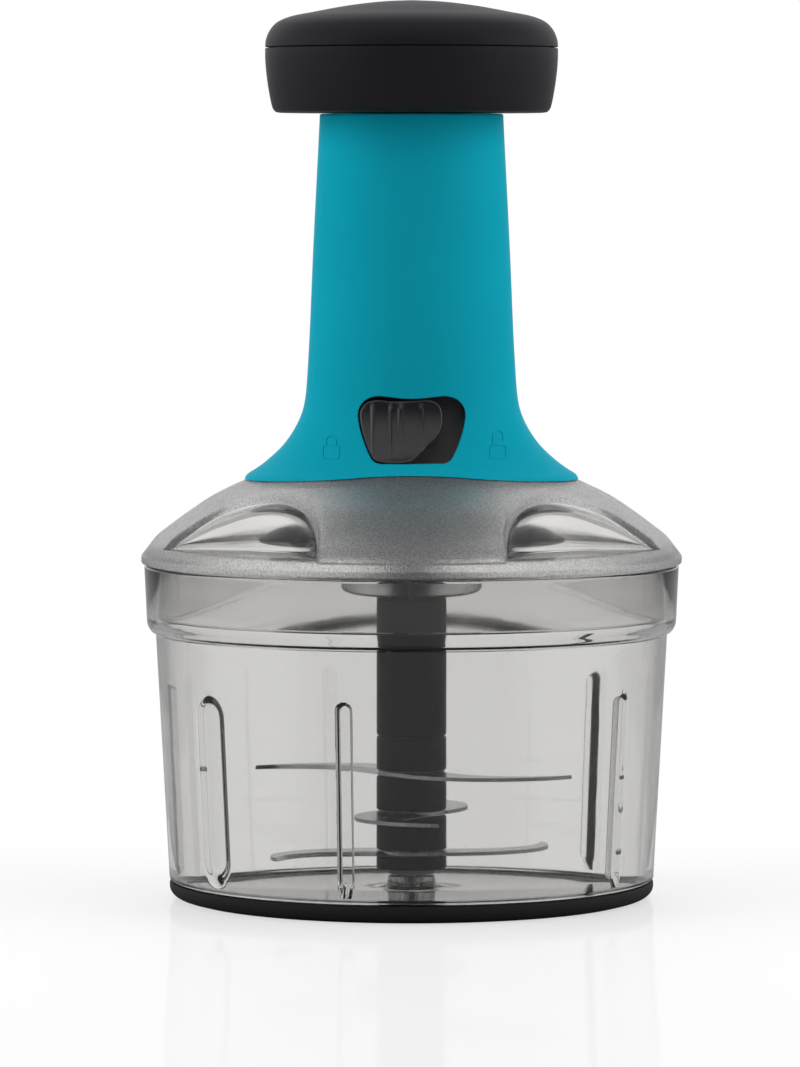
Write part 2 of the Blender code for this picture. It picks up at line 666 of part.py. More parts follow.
def build_lid(frosted, axis):
    """Lid with its skirt, four finger recesses and a hole for the drive."""
    dome = dome_outline()
    outline = [
        (0.0, SKIRT_Z),
        (SKIRT_RADIUS - SKIRT_WALL / 2, SKIRT_Z),
        (SKIRT_RADIUS, SKIRT_Z + SKIRT_WALL),
        (SKIRT_RADIUS, BRIM_Z),
        (LID_RADIUS - BRIM_EDGE, BRIM_Z),
        (LID_RADIUS, BRIM_Z + BRIM_EDGE),
        (LID_RADIUS, DOME_Z),
        *dome,
        (0.0, LID_TOP),
    ]
    lid = piece("lid", turned("lid", outline, SHELL_SIDES), frosted, axis)
    combine(lid, recess_mesh(RECESS_RADIUS, RECESS_Z))
    hollow = [(radius, height) for radius, height in inset(dome, LID_WALL) if radius < SKIRT_INSIDE]
    inside = [
        (0.0, SKIRT_Z - OVERRUN),
        (SKIRT_INSIDE, SKIRT_Z - OVERRUN),
        (SKIRT_INSIDE, hollow[0][1] - LID_WALL / 2),
        *hollow[:-1],
        (hollow[-1][0], LID_CEILING),
        (0.0, LID_CEILING),
    ]
    cavity = combine(lid, turned("cavity", inside, SHELL_SIDES))
    cavity.name = "lid.cavity"
    combine(cavity, recess_mesh(RECESS_RADIUS + RECESS_WALL, RECESS_Z - RECESS_WALL))
    low, high = LID_CEILING - OVERRUN, LID_TOP + OVERRUN
    combine(lid, turned("drive_hole", rod_outline(LID_HOLE_RADIUS, low, high), TUBE_SIDES))
    for angle in around(SCREW_COUNT, math.pi / SCREW_COUNT):
        hole = turned("screw_hole", rod_outline(SCREW_HOLE_RADIUS, low, high), SMALL_SIDES)
        combine(lid, moved(hole, (SCREW_CIRCLE, 0.0, 0.0), angle))


def build_drive_cover(black, clear, axis):
    """Black conical cover under the lid and the clear splash collar round the drive."""
    inner = BLOCK_TUBE_RADIUS + SEAT_GAP
    hub = inner + COVER_HUB_WALL
    slope_z = COVER_Z + COVER_WALL
    middle = (hub + (COVER_RADIUS - hub) * 0.2, COVER_HUB_Z)
    cover = [
        (inner, COVER_HUB_Z),
        (hub, COVER_HUB_Z),
        middle,
        (COVER_RADIUS, COVER_Z),
        (COVER_RADIUS, slope_z),
        (middle[0], middle[1] + COVER_WALL),
        (hub, COVER_HUB_Z + COVER_WALL * 2),
        (hub, COVER_HUB_Z + COVER_HUB_HEIGHT),
        (inner, COVER_HUB_Z + COVER_HUB_HEIGHT),
    ]
    piece("drive_cover", turned("drive_cover", cover, SHELL_SIDES, ring=True), black, axis)
    collar = tube_outline(COLLAR_RADIUS - COLLAR_WALL, COLLAR_RADIUS, COLLAR_Z, COLLAR_TOP)
    piece("splash_collar", turned("splash_collar", collar, TUBE_SIDES, ring=True), clear, axis)


def build_bearing_block(black, steel, axis):
    """Block that carries the drive screw, with its thrust washer and the spring's seat."""
    outline = [
        (JOURNAL_BORE, PLATE_Z),
        (BLOCK_TUBE_INSIDE, PLATE_Z),
        (BLOCK_TUBE_INSIDE, BLOCK_Z),
        (BLOCK_TUBE_RADIUS, BLOCK_Z),
        (BLOCK_TUBE_RADIUS, FLANGE_Z),
        (BLOCK_FLANGE_RADIUS, FLANGE_Z),
        (BLOCK_FLANGE_RADIUS, FLANGE_Z + BLOCK_FLANGE),
        (BLOCK_TUBE_RADIUS, FLANGE_Z + BLOCK_FLANGE),
        (BLOCK_TUBE_RADIUS, BLOCK_TOP),
        (JOURNAL_BORE, BLOCK_TOP),
    ]
    block = piece("bearing_block", turned("bearing_block", outline, TUBE_SIDES, ring=True), black, axis)
    low, high = FLANGE_Z - OVERRUN, FLANGE_Z + BLOCK_FLANGE + OVERRUN
    for angle in around(SCREW_COUNT, math.pi / SCREW_COUNT):
        hole = turned("screw_hole", rod_outline(SCREW_HOLE_RADIUS, low, high), SMALL_SIDES)
        combine(block, moved(hole, (SCREW_CIRCLE, 0.0, 0.0), angle))
    washer = tube_outline(JOURNAL_BORE, THRUST_RADIUS, THRUST_WASHER_Z, THRUST_WASHER_Z + THRUST_WASHER)
    piece("drive_washer", turned("drive_washer", washer, TUBE_SIDES, ring=True), steel, axis)
    seat_outside = SLEEVE_BORE - FIT_GAP
    seat = tube_outline(
        seat_outside - SPRING_SEAT_WALL, seat_outside, THRUST_WASHER_Z, THRUST_WASHER_Z + SPRING_SEAT_HEIGHT,
    )
    piece("spring_seat", turned("spring_seat", seat, TUBE_SIDES, ring=True), black, axis)


def screw_mesh(radius, length, head_radius, head_height):
    """A pan-head screw, its head's underside at zero and its shank upwards."""
    outline = [
        (0.0, -head_height), (head_radius * 0.8, -head_height), (head_radius, -head_height / 2),
        (head_radius, 0.0), (radius, 0.0), (radius, length - radius / 2), (radius / 2, length), (0.0, length),
    ]
    return turned("screw", outline, SMALL_SIDES)


def build_housing(teal, axis):
    """Handle housing with the lock window and four screw bosses."""
    outer = housing_outline()
    inner = housing_inside()
    foot_z = HOUSING_Z - OVERRUN
    outline = [
        (outer[0][0], foot_z), *outer,
        (outer[-1][0] - HOUSING_TOP_ROUNDING, HOUSING_TOP),
        (inner[-1][0], HOUSING_TOP),
        *reversed(inner), (inner[0][0], foot_z),
    ]
    shell = flattened(turned("housing", outline, SHELL_SIDES, ring=True))
    housing = piece("housing", shell, teal, axis)
    boss_z = LID_TOP + SEAT_GAP
    hole_top = FLANGE_Z - SEAT_GAP + SCREW_LENGTH + SCREW_END_ROOM
    for angle in around(SCREW_COUNT, math.pi / SCREW_COUNT):
        boss_outline = rod_outline(HOUSING_BOSS_RADIUS, boss_z, boss_z + HOUSING_BOSS_HEIGHT)
        boss = turned("boss", boss_outline, SMALL_SIDES)
        combine(housing, moved(boss, (SCREW_CIRCLE, 0.0, 0.0), angle), "UNION")
    combine(housing, dome_seat())
    for angle in around(SCREW_COUNT, math.pi / SCREW_COUNT):
        hole = turned("screw_hole", rod_outline(SCREW_HOLE_RADIUS, LID_TOP, hole_top), SMALL_SIDES)
        combine(housing, moved(hole, (SCREW_CIRCLE, 0.0, 0.0), angle))
    combine(housing, window_prism("window"))


def build_housing_screws(steel, axis):
    """Four screws from below, through bearing block and lid into the housing."""
    mesh = screw_mesh(SCREW_RADIUS, SCREW_LENGTH, SCREW_HEAD_RADIUS, SCREW_HEAD_HEIGHT)
    for index, angle in enumerate(around(SCREW_COUNT, math.pi / SCREW_COUNT)):
        screw = piece(f"housing_screw_{index + 1}", mesh.copy(), steel, axis)
        place = Matrix.Rotation(angle, 3, "Z") @ Vector((SCREW_CIRCLE, 0.0, FLANGE_Z - SEAT_GAP))
        screw.location = place


def build_guide(black, axis):
    """Bush in the top of the neck that guides the press sleeve and stops its flange."""
    wall = housing_inside(SEAT_GAP)
    top = HOUSING_TOP - SEAT_GAP
    outline = [
        (0.0, GUIDE_Z), (radius_at(wall, GUIDE_Z), GUIDE_Z), (wall[-1][0], wall[-1][1]),
        (wall[-1][0], top), (0.0, top),
    ]
    guide = piece("neck_guide", flattened(turned("neck_guide", outline, SHELL_SIDES)), black, axis)
    bore = rod_outline(SLEEVE_RADIUS + RUNNING_GAP, GUIDE_Z - OVERRUN, top + OVERRUN)
    combine(guide, turned("guide_bore", bore, SHELL_SIDES))


def window_outline(margin=0.0):
    """The lock window's outline in X and Z, counter-clockwise, grown by a margin."""
    half = stepped(WINDOW_SHARES, 0.0, WINDOW_HALF_WIDTH, WINDOW_Z, WINDOW_HEIGHT)
    points = [(-across, up) for across, up in half] + [(across, up) for across, up in reversed(half[1:])]
    if not margin:
        return points
    grown = inset([points[-1], *points, points[0]], -margin)
    return grown[1:-1]


def window_prism(name, margin=0.0):
    """The window's outline carried through the front of the housing."""
    return extruded(name, window_outline(margin), -HOUSING_FOOT_RADIUS, -SLEEVE_RADIUS, AXIS_Y)


def lock_slab(name, front, back):
    """A slab across the front whose faces follow the housing's slope, at two depths inside its inner face."""
    inner = housing_inside()
    low, high = WINDOW_Z - 2 * TRAY_MARGIN, WINDOW_Z + WINDOW_HEIGHT + 2 * TRAY_MARGIN
    heights = [low + (high - low) * step / SLAB_STEPS for step in range(SLAB_STEPS + 1)]
    slope = [(-radius_at(inner, height) * HOUSING_DEPTH_SHARE, height) for height in heights]
    near = [(depth + front, height) for depth, height in slope]
    far = [(depth + back, height) for depth, height in reversed(slope)]
    reach = HOUSING_NECK_RADIUS
    return extruded(name, near + far, -reach, reach, AXIS_X)


def solid_housing(name, gap):
    """The housing's inner space less a gap, as a solid."""
    wall = housing_inside(gap)
    outline = [(0.0, wall[0][1]), *wall, (0.0, wall[-1][1])]
    return flattened(turned(name, outline, SHELL_SIDES))


def build_lock_tray(black, axis):
    """Recessed tray behind the window, in which the lock button slides."""
    tray = piece("lock_tray", window_prism("lock_tray", TRAY_MARGIN), black, axis)
    combine(tray, solid_housing("tray_front", SEAT_GAP), "INTERSECT")
    floor_back = TRAY_DEPTH + TRAY_FLOOR
    combine(tray, lock_slab("tray_back", floor_back, floor_back + HOUSING_FOOT_RADIUS))
    combine(tray, dome_seat())
    hollow = combine(tray, window_prism("tray_hollow"))
    hollow.name = "lock_tray.hollow"
    combine(hollow, lock_slab("tray_floor", TRAY_DEPTH, TRAY_DEPTH + HOUSING_FOOT_RADIUS))
    left, right = stem_sides()
    low = (left - LOCK_GAP, -HOUSING_FOOT_RADIUS, STEM_Z - LOCK_GAP)
    high = (right + LOCK_TRAVEL + LOCK_GAP, -SLEEVE_RADIUS, STEM_Z + STEM_HEIGHT + LOCK_GAP)
    combine(tray, box("stem_slot", low, high))


def stem_sides():
    """Left and right side of the button's stem."""
    middle = -LATCH_WIDTH / 2
    return middle - STEM_WIDTH / 2, middle + STEM_WIDTH / 2


def stem_back():
    """Depth at which the stem ends and the latch begins."""
    latch_back = -(SLEEVE_RADIUS + STOP_FLANGE + LATCH_ROOM)
    return latch_back - LATCH_DEPTH - SEAT_GAP


def button_outline():
    """The button's outline in X and Z: the window's left side and a rounded right end."""
    right = WINDOW_HALF_WIDTH - LOCK_TRAVEL - BUTTON_END_ROOM
    left_side = stepped(BUTTON_LEFT_SHARES, 0.0, WINDOW_HALF_WIDTH, WINDOW_Z, WINDOW_HEIGHT)
    right_side = stepped(
        BUTTON_RIGHT_SHARES, -WINDOW_HALF_WIDTH, WINDOW_HALF_WIDTH + right, WINDOW_Z, WINDOW_HEIGHT,
    )
    return left_side + right_side


def build_lock(black, steel, axis):
    """Lock button with its stem, the latch behind it and the screw that joins them."""
    mesh = extruded("lock_button", button_outline(), -HOUSING_FOOT_RADIUS, -SLEEVE_RADIUS, AXIS_Y)
    button = piece("lock_button", mesh, black, axis)
    combine(button, solid_housing("button_front", -HOUSING_WALL - BUTTON_PROUD), "INTERSECT")
    combine(button, lock_slab("button_back", TRAY_DEPTH - LOCK_GAP, TRAY_DEPTH + HOUSING_FOOT_RADIUS))
    for index in range(GRIP_COUNT):
        middle = WINDOW_HALF_WIDTH * GRIP_FIRST_SHARE + GRIP_PITCH * index
        low = (middle - GRIP_WIDTH / 2, -HOUSING_FOOT_RADIUS, WINDOW_Z + WINDOW_HEIGHT * GRIP_LOW_SHARE)
        high = (middle + GRIP_WIDTH / 2, -SLEEVE_RADIUS, WINDOW_Z + WINDOW_HEIGHT * GRIP_HIGH_SHARE)
        groove = combine(button, box("grip_groove", low, high))
        groove.name = f"lock_button.groove_{index + 1}"
        combine(groove, solid_housing("groove_floor", GRIP_DEPTH - HOUSING_WALL - BUTTON_PROUD))
    left, right = stem_sides()
    front = stem_back() - TRAY_DEPTH - TRAY_FLOOR
    stem = box("stem", (left, front, STEM_Z), (right, stem_back(), STEM_Z + STEM_HEIGHT))
    combine(button, stem, "UNION")
    middle = (left + right) / 2
    screw_z = STEM_Z + STEM_HEIGHT / 2
    hole = rod_outline_mesh(LOCK_SCREW_RADIUS + SEAT_GAP, LOCK_SCREW_LENGTH)
    combine(button, lying(hole, (middle, stem_back(), screw_z)))
    latch_front = stem_back() + SEAT_GAP
    latch_back = latch_front + LATCH_DEPTH
    latch_z = STEM_Z - LATCH_DROP
    latch_top = STEM_Z + STEM_HEIGHT - SEAT_GAP
    sides = (-LATCH_WIDTH, 0.0)
    latch = piece(
        "lock_latch", box("lock_latch", (sides[0], latch_front, latch_z), (sides[1], latch_back, latch_top)),
        steel, axis,
    )
    hook = box(
        "hook", (sides[0], latch_back - LATCH_HOOK_DEPTH, latch_top - OVERRUN),
        (sides[1], latch_back, latch_top + LATCH_HOOK_HEIGHT),
    )
    combine(latch, hook, "UNION")
    combine(latch, lying(
        rod_outline_mesh(LOCK_SCREW_RADIUS + SEAT_GAP, LATCH_DEPTH + 2 * OVERRUN),
        (middle, latch_back + OVERRUN, screw_z),
    ))
    screw = screw_mesh(
        LOCK_SCREW_RADIUS, LOCK_SCREW_LENGTH, LOCK_SCREW_HEAD, LOCK_SCREW_HEAD_HEIGHT,
    )
    piece("lock_screw", lying(screw, (middle, latch_back + SEAT_GAP, screw_z)), steel, axis)


def rod_outline_mesh(radius, length):
    """A plain rod from the origin upwards, for screw holes."""
    return turned("rod", rod_outline(radius, 0.0, length), SMALL_SIDES)


def build_knob(black, steel, axis):
    """Palm knob in two shells and the screws that hold it on the press sleeve."""
    base_side = stepped(KNOB_BASE_SHARES, 0.0, KNOB_RADIUS, KNOB_Z, KNOB_BASE_HEIGHT)
    lip = KNOB_RADIUS - KNOB_WALL - SEAT_GAP
    inside = lip - KNOB_LIP_WALL
    floor_z = KNOB_Z + KNOB_FLOOR
    base = [
        (0.0, KNOB_Z), *base_side, (KNOB_RADIUS, KNOB_SEAM), (lip, KNOB_SEAM),
        (lip, KNOB_SEAM + KNOB_LIP_HEIGHT), (inside, KNOB_SEAM + KNOB_LIP_HEIGHT),
        (inside, floor_z + KNOB_WALL), (inside - KNOB_WALL, floor_z), (0.0, floor_z),
    ]
    knob_base = piece("knob_base", turned("knob_base", base, SHELL_SIDES), black, axis)
    cap_z = KNOB_SEAM + SEAT_GAP
    outer = stepped(KNOB_CAP_SHARES, 0.0, KNOB_RADIUS, cap_z, KNOB_TOP - cap_z)
    inner = inset(outer, KNOB_WALL)
    cap = [*outer[:-1], (0.0, KNOB_TOP), (0.0, KNOB_TOP - KNOB_WALL), *reversed(inner[1:-1])]
    cap.append((KNOB_RADIUS - KNOB_WALL, cap_z))
    piece("knob_cap", turned("knob_cap", closed_on_axis(cap), SHELL_SIDES), black, axis)
    screw = screw_mesh(SCREW_RADIUS, KNOB_SCREW_LENGTH, SCREW_HEAD_RADIUS, SCREW_HEAD_HEIGHT)
    screw.transform(Matrix.Rotation(math.pi, 4, "X"))
    for index, angle in enumerate(around(KNOB_SCREW_COUNT, math.pi / 2)):
        hole = rod_outline(SCREW_HOLE_RADIUS, KNOB_Z - OVERRUN, floor_z + OVERRUN)
        hole_mesh = moved(turned("screw_hole", hole, SMALL_SIDES), (KNOB_SCREW_CIRCLE, 0.0, 0.0), angle)
        combine(knob_base, hole_mesh)
        item = piece(f"knob_screw_{index + 1}", screw.copy(), steel, axis)
        item.location = Matrix.Rotation(angle, 3, "Z") @ Vector((KNOB_SCREW_CIRCLE, 0.0, floor_z + SEAT_GAP))


def closed_on_axis(outline):
    """The outline turned round so that it starts and ends on the axis."""
    first = next(i for i, point in enumerate(outline) if point[0] == 0.0 and outline[i + 1][0] == 0.0)
    return outline[first + 1:] + outline[:first + 1]


def build_sleeve(black, axis):
    """Press sleeve under the knob, with its stop flange and the ledge for the nut."""
    outline = [
        (0.0, SLEEVE_SOLID_Z),
        (SLEEVE_UPPER_BORE, SLEEVE_SOLID_Z),
        (SLEEVE_UPPER_BORE, LEDGE_Z),
        (SLEEVE_BORE, LEDGE_Z),
        (SLEEVE_BORE, SLEEVE_Z),
        (SLEEVE_RADIUS + STOP_FLANGE, SLEEVE_Z),
        (SLEEVE_RADIUS + STOP_FLANGE, SLEEVE_Z + STOP_FLANGE_HEIGHT),
        (SLEEVE_RADIUS, SLEEVE_Z + STOP_FLANGE_HEIGHT),
        (SLEEVE_RADIUS, HOUSING_TOP),
        (0.0, HOUSING_TOP),
    ]
    sleeve = piece("press_sleeve", turned("press_sleeve", outline, SHELL_SIDES), black, axis)
    low = KNOB_Z + KNOB_FLOOR + SEAT_GAP - KNOB_SCREW_LENGTH - SCREW_END_ROOM
    for angle in around(KNOB_SCREW_COUNT, math.pi / 2):
        hole = turned("screw_hole", rod_outline(SCREW_HOLE_RADIUS, low, HOUSING_TOP + OVERRUN), SMALL_SIDES)
        combine(sleeve, moved(hole, (KNOB_SCREW_CIRCLE, 0.0, 0.0), angle))


def thread_mesh(name, gap, bottom, top, steps):
    """A grooved bar that twists once per lead, grown by a gap. Right-handed, its phase set by the height."""
    shape = bmesh.new()
    count = GROOVE_COUNT * THREAD_POINTS
    rows = []
    for step in range(steps + 1):
        height = bottom + (top - bottom) * step / steps
        row = []
        for index in range(count):
            angle = math.tau * index / count
            depth = GROOVE_DEPTH * (1.0 - math.cos(GROOVE_COUNT * angle)) / 2
            radius = SCREW_CORE_RADIUS + gap - depth
            turn = angle + math.tau * height / LEAD
            row.append(shape.verts.new((radius * math.cos(turn), radius * math.sin(turn), height)))
        rows.append(row)
    for row, following in zip(rows, rows[1:]):
        for index in range(count):
            after = (index + 1) % count
            shape.faces.new((row[index], row[after], following[after], following[index]))
    shape.faces.new(rows[0])
    shape.faces.new(rows[-1])
    return to_mesh(shape, name)


def build_drive(steel, black, axis):
    """Drive screw with its thrust flange and journal, and the socket pinned to its lower end."""
    journal_z = SOCKET_HOLE_Z + SEAT_GAP
    outline = [
        (0.0, journal_z), (JOURNAL_RADIUS, journal_z), (JOURNAL_RADIUS, THRUST_Z),
        (THRUST_RADIUS, THRUST_Z), (THRUST_RADIUS, THREAD_Z), (0.0, THREAD_Z),
    ]
    screw = piece("drive_screw", turned("drive_screw", outline, TUBE_SIDES), steel, axis)
    thread = thread_mesh("thread", 0.0, THREAD_Z - THRUST_HEIGHT / 2, THREAD_TOP, THREAD_STEPS)
    combine(screw, thread, "UNION")
    socket_outline = [
        (0.0, SOCKET_HOLE_Z), (JOURNAL_BORE, SOCKET_HOLE_Z), (JOURNAL_BORE, SOCKET_TOP),
        (SOCKET_RADIUS, SOCKET_TOP), (SOCKET_RADIUS, SOCKET_Z), (0.0, SOCKET_Z),
    ]
    socket = piece("drive_socket", turned("drive_socket", socket_outline, TUBE_SIDES), black, axis)
    bore = rod_outline(HEX_RADIUS + HEX_GAP, SOCKET_Z - OVERRUN, SOCKET_BORE_TOP)
    combine(socket, turned("hexagon_bore", bore, HEX_SIDES))
    pin_z = (SOCKET_HOLE_Z + SOCKET_TOP) / 2
    reach = SOCKET_RADIUS - DRIVE_PIN_END
    for target in (screw, socket):
        hole = rod_outline(DRIVE_PIN_RADIUS + SEAT_GAP, -SOCKET_RADIUS - OVERRUN, SOCKET_RADIUS + OVERRUN)
        combine(target, lying(turned("pin_hole", hole, SMALL_SIDES), (0.0, 0.0, pin_z)))
    pin = turned("drive_pin", rod_outline(DRIVE_PIN_RADIUS, -reach, reach), SMALL_SIDES)
    piece("drive_pin", lying(pin, (0.0, 0.0, pin_z)), steel, axis)


def build_nut(white, axis):
    """Nut in the press sleeve that turns the drive screw as it passes along it."""
    outline = rod_outline(NUT_RADIUS, NUT_Z, NUT_Z + NUT_HEIGHT)
    nut = piece("drive_nut", turned("drive_nut", outline, TUBE_SIDES), white, axis)
    thread = thread_mesh("nut_thread", THREAD_GAP, NUT_Z - OVERRUN, NUT_Z + NUT_HEIGHT + OVERRUN, NUT_STEPS)
    combine(nut, thread)


def build_spring(steel, axis):
    """Return spring between its seat and the nut, one helix as a bevelled curve."""
    curve = bpy.data.curves.new("return_spring", "CURVE")
    curve.dimensions = "3D"
    curve.bevel_depth = WIRE_RADIUS
    curve.bevel_resolution = SPRING_BEVEL_STEPS
    curve.use_fill_caps = True
    count = SPRING_TURNS * SPRING_POINTS
    low, high = SPRING_Z + WIRE_RADIUS, SPRING_TOP - WIRE_RADIUS
    line = curve.splines.new("POLY")
    line.points.add(count)
    for index, point in enumerate(line.points):
        share = index / count
        angle = math.tau * SPRING_TURNS * share
        point.co = (
            SPRING_RADIUS * math.cos(angle), SPRING_RADIUS * math.sin(angle), low + (high - low) * share, 1.0,
        )
    spring = bpy.data.objects.new("return_spring", curve)
    curve.materials.append(steel)
    bpy.context.scene.collection.objects.link(spring)
    spring.parent = axis
    spring.matrix_parent_inverse = Matrix.Translation(axis.location).inverted()


def build_washer(white, axis):
    """Washer on the pivot boss that the blade stack turns on. It stays in the bowl."""
    outline = tube_outline(PIN_RADIUS + RUNNING_GAP, WASHER_RADIUS, WASHER_Z, WASHER_Z + WASHER_HEIGHT)
    piece("thrust_washer", turned("thrust_washer", outline, TUBE_SIDES, ring=True), white, axis)


def joint_axis(name, height):
    """An empty on the object's axis that moving pieces hang on."""
    empty = bpy.data.objects.new(name, None)
    empty.location = (0.0, 0.0, height)
    bpy.context.scene.collection.objects.link(empty)
    return empty


def main():
    """Clear the scene and build every piece."""
    for item in list(bpy.data.objects):
        bpy.data.objects.remove(item, do_unlink=True)
    black = finish("black_plastic", (0.012, 0.012, 0.015), 0.42)
    rubber = finish("black_rubber", (0.012, 0.011, 0.012), 0.75)
    clear = finish("clear_plastic", (0.85, 0.86, 0.86), 0.06, transmission=0.9)
    frosted = finish("frosted_plastic", (0.42, 0.42, 0.43), 0.45, transmission=0.5)
    teal = finish("teal_plastic", (0.005, 0.30, 0.42), 0.38)
    steel = finish("steel", (0.62, 0.62, 0.63), 0.22, metallic=1.0)
    white = finish("white_plastic", (0.75, 0.75, 0.73), 0.4)

    build_base(rubber)
    build_bowl(clear, steel)
    washer_axis = joint_axis("washer_axis", WASHER_Z)
    build_washer(white, washer_axis)
    blade_axis = joint_axis("blade_axis", END_CAP_Z)
    build_blades(steel, black, blade_axis)
    build_column(black, blade_axis)

    lid_axis = joint_axis("lid_axis", BRIM_Z)
    build_lid(frosted, lid_axis)
    build_drive_cover(black, clear, lid_axis)
    build_bearing_block(black, steel, lid_axis)
    build_housing(teal, lid_axis)
    build_housing_screws(steel, lid_axis)
    build_guide(black, lid_axis)
    build_lock_tray(black, lid_axis)

    lock_axis = joint_axis("lock_axis", STEM_Z)
    build_lock(black, steel, lock_axis)
    handle_axis = joint_axis("handle_axis", SLEEVE_Z)
    build_knob(black, steel, handle_axis)
    build_sleeve(black, handle_axis)
    build_nut(white, handle_axis)
    build_spring(steel, handle_axis)
    drive_axis = joint_axis("drive_axis", THRUST_Z)
    build_drive(steel, black, drive_axis)


main()
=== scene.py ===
"""The look of a plunger food chopper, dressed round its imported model.

Metres, +Z up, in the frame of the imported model: the origin is under the middle of the base and the
lock button faces -Y. Every visible piece of the model is rebuilt here as a smooth mesh with its
edges rounded and its own finish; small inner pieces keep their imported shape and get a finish.
"""

import json
import logging
import math
from dataclasses import dataclass, field
from enum import Enum
from typing import Callable, Sequence

import bmesh
import bpy
from mathutils import Matrix, Vector


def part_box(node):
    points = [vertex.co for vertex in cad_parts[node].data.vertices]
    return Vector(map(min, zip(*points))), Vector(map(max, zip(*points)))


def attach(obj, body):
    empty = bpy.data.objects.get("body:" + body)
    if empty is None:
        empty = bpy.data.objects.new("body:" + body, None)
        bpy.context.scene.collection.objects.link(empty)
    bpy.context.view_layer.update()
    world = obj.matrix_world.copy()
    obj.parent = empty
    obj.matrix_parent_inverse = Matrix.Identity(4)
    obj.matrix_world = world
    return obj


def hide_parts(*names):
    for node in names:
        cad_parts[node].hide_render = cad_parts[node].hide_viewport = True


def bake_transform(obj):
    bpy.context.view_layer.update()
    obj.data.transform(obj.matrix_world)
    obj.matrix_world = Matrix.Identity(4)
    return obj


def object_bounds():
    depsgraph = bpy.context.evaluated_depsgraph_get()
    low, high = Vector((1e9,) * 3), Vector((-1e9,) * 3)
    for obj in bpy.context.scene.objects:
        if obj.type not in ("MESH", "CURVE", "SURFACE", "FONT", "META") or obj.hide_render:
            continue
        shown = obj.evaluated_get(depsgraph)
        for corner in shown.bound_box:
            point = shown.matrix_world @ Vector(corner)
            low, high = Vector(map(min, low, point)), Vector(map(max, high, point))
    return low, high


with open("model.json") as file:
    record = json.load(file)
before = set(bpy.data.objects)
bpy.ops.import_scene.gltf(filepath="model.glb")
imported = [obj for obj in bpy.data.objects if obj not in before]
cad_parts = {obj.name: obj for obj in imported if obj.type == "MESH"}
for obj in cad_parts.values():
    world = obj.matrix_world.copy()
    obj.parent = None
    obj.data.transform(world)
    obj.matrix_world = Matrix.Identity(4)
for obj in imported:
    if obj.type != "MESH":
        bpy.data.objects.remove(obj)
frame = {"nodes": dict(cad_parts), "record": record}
CAD_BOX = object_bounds()

LOG = logging.getLogger("chopper")
Point = tuple[float, float]
Outline = list[Point]

MERGE_DISTANCE = 1e-6       # points closer than this are one point
SHARP_ANGLE = math.radians(38.0)
FRONT_ANGLE = math.radians(-90.0)


class Body(Enum):
    """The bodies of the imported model."""

    BOWL = "bowl_body"
    BLADES = "blade_unit"
    LID = "lid_body"
    HANDLE = "handle"
    DRIVE = "drive"
    LOCK = "lock_body"


class Slot(Enum):
    """The record's material slots."""

    CLEAR = "clear"
    FROSTED = "frosted"
    COLLAR = "collar"
    TEAL = "teal"
    KNOB = "knob"
    BLACK = "black"
    LOCK = "lock"
    RUBBER = "rubber"
    WHITE = "white"
    STEEL = "steel"
    BLADE = "blade"
    SCREWS = "screws"


@dataclass(frozen=True)
class Corner:
    """A corner of an outline: its place, and the radius it is rounded with."""

    radius: float
    height: float
    fillet: float = 0.0


@dataclass(frozen=True)
class Span:
    """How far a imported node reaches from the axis, and its lowest and highest point."""

    reach: float
    low: float
    high: float


def span(node: str) -> Span:
    """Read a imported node's box as a span about the axis.

    Args:
        node: The node's name.

    Returns:
        Its reach along X and its heights.
    """
    low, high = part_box(node)
    return Span(high.x, low.z, high.z)


def arc(before: Vector, corner: Vector, after: Vector, fillet: float, steps: int) -> list[Vector]:
    """Round one corner of an outline.

    Args:
        before: The point before the corner.
        corner: The corner itself.
        after: The point after it.
        fillet: The radius, made smaller where the sides are short.
        steps: How many stretches the arc has.

    Returns:
        The points that take the corner's place.
    """
    to_before, to_after = before - corner, after - corner
    room_share = 0.48
    room = room_share * min(to_before.length, to_after.length)
    first, second = to_before.normalized(), to_after.normalized()
    half = math.acos(max(-1.0, min(1.0, first.dot(second)))) / 2
    if fillet <= 0.0 or half > math.radians(88.0):
        return [corner]
    reach = min(fillet / math.tan(half), room)
    centre = corner + (first + second).normalized() * (reach / math.cos(half))
    start, end = corner + first * reach - centre, corner + second * reach - centre
    turn = math.pi - 2 * half
    points = []
    for step in range(steps + 1):
        angle = turn * step / steps
        weight_start, weight_end = math.sin(turn - angle) / math.sin(turn), math.sin(angle) / math.sin(turn)
        points.append(centre + start * weight_start + end * weight_end)
    return points


def rounded(corners: Sequence[Corner], ring: bool = False, steps: int = 5) -> Outline:
    """Make an outline with rounded corners.

    Args:
        corners: Its corners in order.
        ring: Whether it closes on itself.
        steps: Stretches in each arc.

    Returns:
        The outline's points.
    """
    places = [Vector((corner.radius, corner.height)) for corner in corners]
    points: list[Vector] = []
    for index, corner in enumerate(corners):
        at_end = index in (0, len(corners) - 1)
        if at_end and not ring:
            points.append(places[index])
            continue
        after = places[(index + 1) % len(places)]
        points.extend(arc(places[index - 1], places[index], after, corner.fillet, steps))
    return [tuple(point) for point in points]


